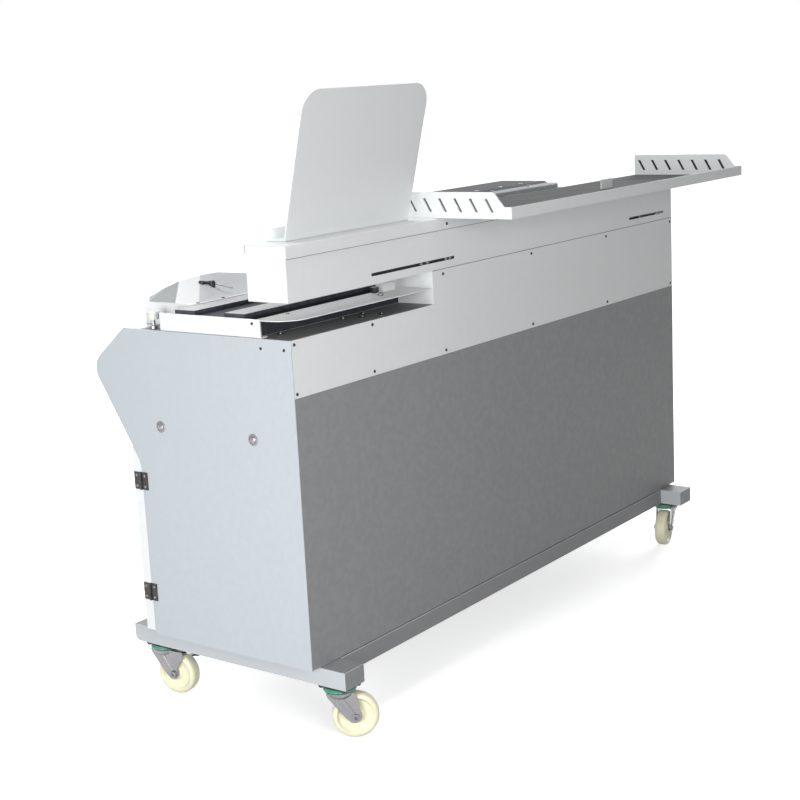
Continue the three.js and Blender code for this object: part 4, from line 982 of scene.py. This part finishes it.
RIDGE = 430
HIP = (92, 333)
BEND = (72, 385)
REAR_SLOPE = 0.433


def hood_surface(along, across):
    """A place on the hood's rear slope, which rises from its foot to the ridge."""
    return spot(along, across, HOOD_FOOT + (across - HIP[1]) * REAR_SLOPE)


def bar(first, second, width, height):
    """A softened bar from one place to another."""
    reach = second - first
    turn = Vector((1, 0, 0)).rotation_difference(reach).to_matrix().to_4x4()
    body = box_mesh((0, -width * MM / 2, -height * MM / 2), (reach.length, width * MM / 2, height * MM / 2))
    return moved(soften(body, 0.8 * MM), Matrix.Translation(first) @ turn)


def hood_roof():
    """The folded roof, its facets toned by how they face the light as painted shade and highlight: a grey end, a
    white bend and a long rear slope in a lighter grey, up to an uneven ridge.
    """
    inset = 6
    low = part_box("nip_hood")[0]
    far = (rear_y - low.y) / MM - inset
    end = (nip_x - low.x) / MM - inset
    start = BEND[0]
    lip = HOOD_FOOT + 9
    corners = {
        "left": (start, far, HOOD_FOOT), "bend": (*BEND, HOOD_FOOT), "hip": (*HIP, HOOD_FOOT),
        "end_rear": (end, HIP[1], HOOD_FOOT), "end_far": (end, far, HOOD_FOOT),
        "ridge_a": (90, RIDGE, 777), "ridge_b": (134, RIDGE, 785), "ridge_c": (201, RIDGE, 790),
        "ridge_d": (257, RIDGE, 789), "ridge_e": (end, RIDGE, 764),
        "left_top": (start, far, lip), "end_top": (end, far, lip),
    }
    # Painted light: the roof's facets take these three tones by how they face the light
    white, grey, light = 0, 1, 2
    folds = [
        (grey, "left bend ridge_a"), (grey, "bend ridge_b ridge_a"), (grey, "left ridge_a left_top"),
        (white, "bend hip ridge_c"), (white, "bend ridge_c ridge_b"),
        (light, "hip ridge_d ridge_c"), (light, "hip end_rear ridge_e"), (light, "hip ridge_e ridge_d"),
        (white, "end_rear end_far end_top ridge_e"), (white, "left left_top end_top end_far"),
        (white, "left end_far end_rear hip bend"), (white, "ridge_a ridge_b left_top"),
        (white, "ridge_b end_top left_top"), (white, "ridge_b ridge_c end_top"),
        (white, "ridge_c ridge_d end_top"), (white, "ridge_d ridge_e end_top"),
    ]
    bm = bmesh.new()
    verts = {name: bm.verts.new(spot(*corner)) for name, corner in corners.items()}
    for look, names in folds:
        face = bm.faces.new([verts[name] for name in names.split()])
        face.material_index = look
    bmesh.ops.recalc_face_normals(bm, faces=bm.faces)
    return bm


def dress_hood():
    low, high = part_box("nip_hood")
    walls = box_mesh(low, (high.x, high.y, spot(0, 0, HOOD_FOOT).z))
    add_piece("nip_hood_piece", joined(soften(walls, 1 * MM), hood_roof()), "cabinet", "white_paint",
              [LOOKS["white_paint"], HOOD_SHADE_GREY, LOOKS["frame_paint"]], ("nip_hood",))
    big = scaled(turned([(0, -6), (6.5, -6), (7, -4), (7, 8), (6, 9.5), (0, 10)], 36))
    small = scaled(turned([(0, -6), (5, -6), (5, 5), (4, 6.5), (0, 6.5)], 28))
    add_piece("hood_knob", joined(
        moved(big, Matrix.Translation(hood_surface(192, 386))),
        moved(small, Matrix.Translation(hood_surface(172, 397))),
        bar(spot(166, 401, 780), spot(197, 381, 775), 6, 5),
    ), "cabinet", "black_plastic")
    add_piece("hood_lever", bar(spot(197, 381, 774), spot(215, 345, 763), 4, 3), "cabinet", "zinc")
    fasteners("hood_screws", "cabinet", "dark_steel", "pan", SEAM_SCREW, "up",
              [spot(86, 331, HOOD_FOOT), spot(165, 330, HOOD_FOOT)])


dress_hood()

# Screws on the clamp cover's top and on its lower shelf

jaw_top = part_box("jaw_cover")[1].z


def cover_screws(name, head, across, depth, alongs):
    row = spot(0, across, 0).y
    fasteners(name, "carriage", "zinc", head, 4.5, "up",
              [Vector((spot(along, 0, 0).x, row, jaw_top - depth * MM)) for along in alongs])


cover_screws("jaw_cover_screws", "pan", 345, 0, (1095, 1200, 1320, 1422, 1505))
cover_screws("jaw_shelf_screws", "socket", 305, 5, (1120, 1215, 1400))

# Turned-down inner edge below the clamp cover's hem, whose brightness is a painted highlight

SKIRT = {"below": 10, "height": 12, "thickness": 2}
hem_low, hem_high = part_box("jaw_cover")
skirt_top = jaw_top - SKIRT["below"] * MM
skirt = box_mesh((hem_low.x, hem_high.y - SKIRT["thickness"] * MM, skirt_top - SKIRT["height"] * MM),
                 (hem_high.x, hem_high.y, skirt_top))
add_piece("jaw_cover_skirt", skirt, "carriage", "grey_paint")

# Dark inserts in the slots of the cover table's far side: painted shade seen through the slots

TABLE_SLOT = {"count": 7, "first": 50, "pitch": 41, "width": 7.8, "foot": 14.5, "height": 29, "lean": 16.7}


def add_slot_shade_inserts():
    low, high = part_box("cover_table")
    foot = low.z + TABLE_SLOT["foot"] * MM
    top = foot + TABLE_SLOT["height"] * MM
    half = TABLE_SLOT["width"] / 2 * MM
    lean = TABLE_SLOT["lean"] * MM
    start, end = low.x + 1 * MM, low.x + 2.5 * MM
    inserts = []
    for index in range(TABLE_SLOT["count"]):
        rear = high.y - (TABLE_SLOT["first"] + TABLE_SLOT["pitch"] * index) * MM
        leant = rear - lean
        outline = [(rear - half, foot), (rear + half, foot), (leant + half, top), (leant - half, top)]
        inserts.append(slab(outline, "x", start, end))
    # The dark rubber here is painted shade inside the slots
    add_piece("table_slot_painted_shade", joined(*inserts), "cabinet", "rubber")


add_slot_shade_inserts()

# Small stop plate that stands on the cover table

STOP_HEIGHT = 24


def add_table_stop():
    far, near = spot(1269, -30, 0), spot(1210, -33, 0)
    plate = box_mesh((far.x, far.y, floor_top - 0.5 * MM), (near.x, near.y, floor_top + STOP_HEIGHT * MM))
    add_piece("table_stop_plate", soften(plate, 0.6 * MM), "cabinet", "white_paint")


add_table_stop()

# Screws in the press plates, along the edges that face each other

PLATE_SCREWS = {"in": 6, "sunk": 3.4, "radius": 3.6, "along": (22, 120, 235, 350, 448)}


def add_plate_screws(label, edge_y, side):
    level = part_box("rear_press_plate")[1].z - PLATE_SCREWS["sunk"] * MM
    row = edge_y + side * PLATE_SCREWS["in"] * MM
    fasteners(label + "_press_plate_screws", label + "_nip", "steel", "socket", PLATE_SCREWS["radius"], "up",
              [Vector((spot(along, 0, 0).x, row, level)) for along in PLATE_SCREWS["along"]])


add_plate_screws("rear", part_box("rear_press_plate")[0].y, 1)
add_plate_screws("front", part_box("front_press_plate")[1].y, -1)

# Screen, buttons and their collars on the console slope

SCREEN_DEPTH = 7.7
BUTTON_STEM = 14
BUTTON_GAP = 0.3
BUTTONS = {
    "start_button": {"body": "start", "slot": "green_plastic", "radius": 11, "height": 6, "travel": 3,
                     "collar": 13.5},
    "emergency_stop": {"body": "stop", "slot": "red_plastic", "radius": 19, "height": 14, "travel": 5,
                       "collar": 13},
}


def slope_frame():
    """The console slope's turn: to the side, up the slope, and out of it."""
    out = -Vector(joints["start_press"]["axis"]).normalized()
    up_slope = out.cross(Vector((1, 0, 0))).normalized()
    if up_slope.z < 0:
        up_slope = -up_slope
    return Matrix((up_slope.cross(out), up_slope, out)).transposed().to_4x4(), out


def dress_screen():
    turn, out = slope_frame()
    low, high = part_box("touch_screen")
    foot = Matrix.Translation((low + high) / 2 - out * SCREEN_DEPTH / 2 * MM) @ turn @ MILLIMETRES
    bezel = carved(
        soften(slab(rounded(box_outline(190, 80, 6), 5), "z", 0, SCREEN_DEPTH), 1.2, 3),
        slab(rounded(box_outline(166, 62, 2), 3), "z", SCREEN_DEPTH - 1.5, SCREEN_DEPTH + 4.3),
    )
    add_piece("screen_bezel", moved(bezel, foot), "cabinet", "black_plastic", stands_for=("touch_screen",))
    glass = soften(slab(rounded(box_outline(165, 61, 1.6), 3), "z", 5, 6.9), 0.3)
    add_piece("screen_panel", moved(glass, foot), "cabinet", "screen")


def dress_button(node):
    """A button's head and the collar round its stem; gives its place and the slope's height there."""
    facts = BUTTONS[node]
    radius, height, travel, collar = (facts[key] for key in ("radius", "height", "travel", "collar"))
    low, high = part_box(node)
    base = Matrix.Translation((low + high) / 2) @ slope_frame()[0] @ MILLIMETRES
    stem_foot = -(travel + BUTTON_GAP + height + BUTTON_STEM) / 2
    slope = stem_foot + BUTTON_STEM
    head_foot = slope + travel + BUTTON_GAP
    top = head_foot + height
    head = turned([
        (0, stem_foot), (7.9, stem_foot), (7.9, head_foot + 1.6), (radius - 0.6, head_foot + 1.6),
        (radius, head_foot + 2.3), (radius, head_foot + height * 0.55),
        (radius - 0.8, head_foot + height * 0.85), (radius * 0.75, top), (0, top),
    ], 48)
    add_piece(node + "_head", moved(head, base), facts["body"], facts["slot"], stands_for=(node,))
    ring = turned([(8.6, slope), (collar, slope), (collar, slope + 1), (collar - 0.8, slope + 1.6),
                   (8.6, slope + 1.6)], 48)
    add_piece(node + "_collar", moved(ring, base), "cabinet", "zinc")
    return base, slope


def dress_controls():
    dress_screen()
    dress_button("start_button")
    base, slope = dress_button("emergency_stop")
    disc = turned([(13.4, slope), (27, slope), (27, slope + 1), (26, slope + 1.6), (13.4, slope + 1.6)], 56)
    add_piece("emergency_stop_disc", moved(disc, base), "cabinet", "green_plastic", [YELLOW])


dress_controls()

# Carriage drive and milling station: pulleys, toothed belt, motor and cutter


def centre_of(node):
    low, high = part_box(node)
    return (low + high) / 2, low, high


PULLEY_TEETH = 24


def dress_pulley(node, body):
    """A toothed pulley between two flanges, on a shaft."""
    centre, low, high = centre_of(node)
    foot, top = low.z / MM, high.z / MM
    profile = [(0, top - 13.5), (17.6, top - 13.5), (17.6, top - 1.5), (0, top - 1.5)]
    groove = turned(profile, PULLEY_TEETH * 4)
    ridged(groove, 1, lambda angle: 1 - 0.05 * (math.sin(PULLEY_TEETH * angle) > 0))
    flanges = [
        soften(turned([(0, z), (21, z), (21, z + 1.5), (0, z + 1.5)], 48), 0.4)
        for z in (top - 15, top - 1.5)
    ]
    shaft = turned([(0, foot), (5, foot), (5, top), (0, top)], 24)
    whole = scaled(joined(groove, *flanges, shaft))
    add_piece(node + "_piece", moved(whole, Matrix.Translation((centre.x, centre.y, 0))), body, "aluminium",
              stands_for=(node,))


dress_pulley("idler_pulley", "idler")
dress_pulley("drive_pulley", "driver")


BELT = {"pitch": 8 * MM, "web": 2 * MM, "tooth": 0.7 * MM}


def dress_belt():
    """The closed belt, flat outside and with teeth on the inside."""
    low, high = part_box("drive_belt")
    radius = (high.y - low.y) / 2
    middle = (low.y + high.y) / 2
    first, last = low.x + radius, high.x - radius
    straight = last - first
    half_turn = math.pi * radius
    length = 2 * (straight + half_turn)

    def at(distance, reach):
        """A place at a distance along the belt, at a reach from the line between the pulleys."""
        if distance < straight:
            return first + distance, middle - reach
        distance -= straight
        if distance < half_turn:
            turn = distance / radius - math.pi / 2
            return last + reach * math.cos(turn), middle + reach * math.sin(turn)
        distance -= half_turn
        if distance < straight:
            return last - distance, middle + reach
        turn = (distance - straight) / radius + math.pi / 2
        return first + reach * math.cos(turn), middle + reach * math.sin(turn)

    outer_loop, inner_loop = [], []
    count = int(length / BELT["pitch"])
    inner = radius - BELT["web"]
    for tooth in range(count):
        for share, rise in ((0.0, BELT["tooth"]), (0.12, 0.0), (0.5, 0.0), (0.62, BELT["tooth"])):
            distance = (tooth + share) * length / count
            outer_loop.append(at(distance, radius))
            inner_loop.append(at(distance, inner + rise))
    bm = bmesh.new()
    sides = ((outer_loop, low.z), (outer_loop, high.z), (inner_loop, high.z), (inner_loop, low.z))
    rings = [[bm.verts.new((x, y, z)) for x, y in loop] for loop, z in sides]
    for here, after in zip(rings, rings[1:] + rings[:1]):
        for step in range(len(here)):
            following = (step + 1) % len(here)
            bm.faces.new((here[step], here[following], after[following], after[step]))
    bmesh.ops.recalc_face_normals(bm, faces=bm.faces)
    add_piece("drive_belt_toothed", bm, "cabinet", "rubber", stands_for=("drive_belt",))


dress_belt()


def around(radius, angle):
    return Vector((math.cos(angle), math.sin(angle), 0)) * radius


def dress_milling_motor():
    """A motor with an end bell, cooling fins and a bolted flange."""
    centre, low, high = centre_of("milling_motor")
    span = (high.z - low.z) / MM
    profile = [(0, 0), (50, 0), (57, 3), (58, 7), (58, 24), (56, 26), (50, 26.5)]
    fins = 13
    first = 30
    step = (span - 12 - first) / fins
    for index in range(fins):
        z = first + step * index
        profile += [(50, z), (55, z + 0.8), (55, z + step * 0.4), (50, z + step * 0.4 + 0.8)]
    profile += [(50, span - 8), (69, span - 7), (70, span - 6), (70, span), (0, span)]
    motor = moved(scaled(turned(profile, 64)), Matrix.Translation((centre.x, centre.y, low.z)))
    add_piece("milling_motor_piece", motor, "cabinet", "motor_paint", stands_for=("milling_motor",))
    flange = Vector((centre.x, centre.y, high.z - 7 * MM))
    fasteners("milling_motor_bolts", "cabinet", "zinc", "hex", 5, "down",
              [flange + around(63 * MM, angle) for angle in (0.8, 2.37, 3.94, 5.5)])


def dress_milling_cutter():
    """A disc with a pocket and a cutting tip at each quarter."""
    centre, low, high = centre_of("milling_cutter")
    hub = (high.z - low.z) / MM
    rim = 75
    disc = turned([
        (0, 0), (12, 0), (12, hub - 26), (22, hub - 26), (22, hub - 14), (rim - 2, hub - 14),
        (rim, hub - 13), (rim, hub - 1), (rim - 2, hub), (24, hub), (22, hub - 2), (0, hub - 2),
    ], 72)
    pockets, tips = [], []
    for quarter in range(4):
        angle = quarter * math.tau / 4
        pocket = turned([(0, hub - 19), (10, hub - 19), (10, hub + 5), (0, hub + 5)], 20)
        pockets.append(moved(pocket, Matrix.Translation(around(rim, angle))))
        tip = soften(box_mesh((-3, -5.5, -12), (3, 5.5, -1)), 0.5)
        seat = Matrix.Rotation(angle - 0.19, 4, "Z") @ Matrix.Translation((rim - 6, 0, hub))
        tips.append(moved(tip, seat))
    whole = scaled(joined(carved(disc, *pockets), *tips))
    add_piece("milling_cutter_piece", moved(whole, Matrix.Translation((centre.x, centre.y, low.z))), "cutter",
              "steel", stands_for=("milling_cutter",))


dress_milling_motor()
dress_milling_cutter()

# Glue station: rollers with shallow rings, and their motor

ROLLER = 28
ROLLER_RINGS = 30


def dress_roller(node, body):
    centre, low, high = centre_of(node)
    tank_low, tank_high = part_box("glue_tank")
    start = (tank_low.y - low.y) / MM + 22
    end = (tank_high.y - low.y) / MM - 22
    span = (high.y - low.y) / MM
    profile = [(0, 0), (5.5, 0), (6, 0.6), (6, start), (ROLLER - 1.2, start), (ROLLER, start + 1.2)]
    for index in range(ROLLER_RINGS):
        z = start + 3 + (end - start - 6) * index / ROLLER_RINGS
        profile += [(ROLLER, z), (ROLLER - 0.7, z + 0.8), (ROLLER, z + 1.6)]
    profile += [(ROLLER, end - 1.2), (ROLLER - 1.2, end), (6, end), (6, span - 0.6), (5.5, span), (0, span)]
    drum = moved(scaled(turned(profile, 56, "y")), Matrix.Translation((centre.x, low.y, centre.z)))
    add_piece(node + "_piece", drum, body, "steel", stands_for=(node,))


def dress_glue_motor():
    low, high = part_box("glue_motor")
    parts = [soften(box_mesh(low, high), 2 * MM, 3)]
    proud = 0.8 * MM
    for start in (low.y + 10 * MM, low.y + 52 * MM):
        band = box_mesh((low.x - proud, start, low.z), (high.x + proud, start + 3 * MM, high.z + proud))
        parts.append(soften(band, 0.5 * MM))
    add_piece("glue_motor_piece", joined(*parts), "cabinet", "motor_paint", stands_for=("glue_motor",))


dress_roller("first_glue_roller", "roller_first")
dress_roller("second_glue_roller", "roller_second")
dress_glue_motor()

# Carriage motor and power inlet


def dress_drive_motor():
    """A square motor: two end caps, a narrower stack between them, and a boss on top."""
    centre, low, high = centre_of("drive_motor")
    parts = []
    for start, end, width in ((0, 12, 70), (12, 48, 67), (48, 60, 70)):
        outline = in_metres(rounded(box_outline(width, width, 4), 4))
        parts.append(soften(slab(outline, "z", low.z + start * MM, low.z + end * MM), 0.5 * MM))
    radius, shoulder = 12 * MM, low.z + 55 * MM
    parts.append(turned([(0, shoulder), (radius, shoulder), (radius, high.z), (0, high.z)], 36))
    whole = moved(joined(*parts), Matrix.Translation((centre.x, centre.y, 0)))
    add_piece("drive_motor_piece", whole, "cabinet", "motor_paint", stands_for=("drive_motor",))
    top = Vector((centre.x, centre.y, low.z + 60 * MM))
    fasteners("drive_motor_bolts", "cabinet", "zinc", "socket", 3.2, "up",
              [top + Vector((x, y, 0)) * 28 * MM for x in (-1, 1) for y in (-1, 1)])


def dress_inlet():
    centre, low, high = centre_of("power_inlet")
    socket = [(-14, -9, 2), (14, -9, 2), (14, 4, 3), (9, 9, 2), (-9, 9, 2), (-14, 4, 3)]

    def prism(outline, steps, start, end):
        return slab(in_metres(rounded(outline, steps)), "x", start, end)

    plate = soften(prism(box_outline(60, 36, 3), 4, low.x, low.x + 3 * MM), 0.6 * MM)
    body = prism(box_outline(46, 26, 3), 4, low.x + 2 * MM, high.x)
    shells = [carved(part, prism(socket, 3, low.x - 5 * MM, low.x + 18 * MM)) for part in (plate, body)]
    pins = []
    for y, z in ((-7, -1.5), (0, 2.5), (7, -1.5)):
        pin = box_mesh((low.x + 3 * MM, (y - 1) * MM, (z - 2) * MM),
                       (low.x + 20 * MM, (y + 1) * MM, (z + 2) * MM))
        pins.append(soften(pin, 0.3 * MM))
    shift = Matrix.Translation((0, centre.y, centre.z))
    add_piece("power_inlet_piece", moved(joined(*shells), shift), "cabinet", "black_plastic",
              stands_for=("power_inlet",))
    add_piece("power_inlet_pins", moved(joined(*pins), shift), "cabinet", "zinc")
    fasteners("power_inlet_screws", "cabinet", "zinc", "pan", 2.6, "load",
              [Vector((low.x, centre.y + side * 25 * MM, centre.z)) for side in (-1, 1)])


dress_drive_motor()
dress_inlet()

# Sensor block, its bush and a round-headed bolt on the far end of the rear tray


def between(first, second):
    low = Vector(min(pair) for pair in zip(first, second))
    high = Vector(max(pair) for pair in zip(first, second))
    return box_mesh(low, high)


SENSOR_FOOT = 737


def dress_sensor():
    block = soften(between(spot(455, 98, SENSOR_FOOT), spot(412, 76, SENSOR_FOOT + 18)), 1 * MM)
    add_piece("tray_sensor_block", block, "cabinet", "white_paint")
    bush = moved(scaled(turned([(0, 0), (8, 0), (9, 2), (9, 12), (0, 12)], 28)),
                 Matrix.Translation(spot(400, 92, SENSOR_FOOT)))
    add_piece("tray_sensor_bush", bush, "cabinet", "black_plastic")
    fasteners("tray_end_bolt", "cabinet", "zinc", "socket", 6.5, "up", [spot(363, 48, tray_rise)])


dress_sensor()

# Floor, backdrop and light

FLOOR_SIZE = 40
FLOOR_LIGHTING = (0.32, 0.32, 0.32, 1)
FLOOR_SEEN = (0.88, 0.88, 0.88, 1)


def seen_rays(tree):
    """One for a ray of the camera, of a reflection or through glass, and zero for one that lights."""
    path = put(tree, "LightPath").outputs
    direct = math_node(tree, "MAXIMUM", path["Is Camera Ray"], path["Is Glossy Ray"])
    return math_node(tree, "MAXIMUM", direct, path["Is Transmission Ray"])


def make_floor():
    bm = bmesh.new()
    bmesh.ops.create_grid(bm, x_segments=1, y_segments=1, size=FLOOR_SIZE)
    floor = loose_object("studio_floor", bm)
    material = bpy.data.materials.new("pale_floor")
    material.use_nodes = True
    tree = material.node_tree
    seen = seen_rays(tree)
    tone = mix_colour(tree, seen, FLOOR_LIGHTING, FLOOR_SEEN)
    place = put(tree, "TexCoord").outputs["Object"]
    reach = put(tree, "VectorMath", {0: place}, operation="LENGTH").outputs["Value"]
    level = spread(tree, reach, 1.1, 3.0, 0.6, 1.05)
    glow = math_node(tree, "MULTIPLY", seen, level)
    feed(tree, tree.nodes["Principled BSDF"].inputs, {
        "Base Color": tone, "Roughness": 0.9, "Specular IOR Level": 0.0,
        "Emission Color": WHITE, "Emission Strength": glow,
    })
    floor.data.materials.append(material)


def make_world():
    world = bpy.data.worlds.new("studio")
    scene.world = world
    world.use_nodes = True
    tree = world.node_tree
    values = {"Value": seen_rays(tree), "To Min": 0.22, "To Max": 1.0}
    strength = put(tree, "MapRange", values).outputs["Result"]
    feed(tree, tree.nodes["Background"].inputs, {"Color": WHITE, "Strength": strength})


# Each lamp's place, what it aims at, size in metres, power in watts, and spread in degrees

LAMPS = {
    "end_light": ((4.2, 0.6, 0.9), (0.85, 0.0, 0.5), 1.8, 90, 180),
    "rear_light": ((2.4, 2.9, 1.4), (1.4, 0.2, 0.6), 1.4, 21, 110),
    "top_light": ((0.6, 0.0, 3.8), (0.3, 0.0, 1.0), 1.8, 48, 180),
    "front_light": ((-1.5, -4.0, 2.4), (0.0, -0.2, 0.7), 2.4, 85, 180),
    "load_light": ((-4.2, -0.5, 1.5), (-0.85, -0.1, 0.7), 1.6, 45, 120),
}


def make_lamps():
    for name, (place, target, size, power, angle) in LAMPS.items():
        data = bpy.data.lights.new(name, "AREA")
        data.energy = power
        data.size = size
        data.spread = math.radians(angle)
        lamp = bpy.data.objects.new(name, data)
        lamp.location = place
        aim = Vector(target) - Vector(place)
        lamp.rotation_euler = aim.to_track_quat("-Z", "Y").to_euler()
        scene.collection.objects.link(lamp)


make_floor()
make_world()
make_lamps()
scene.view_settings.view_transform = "Standard"
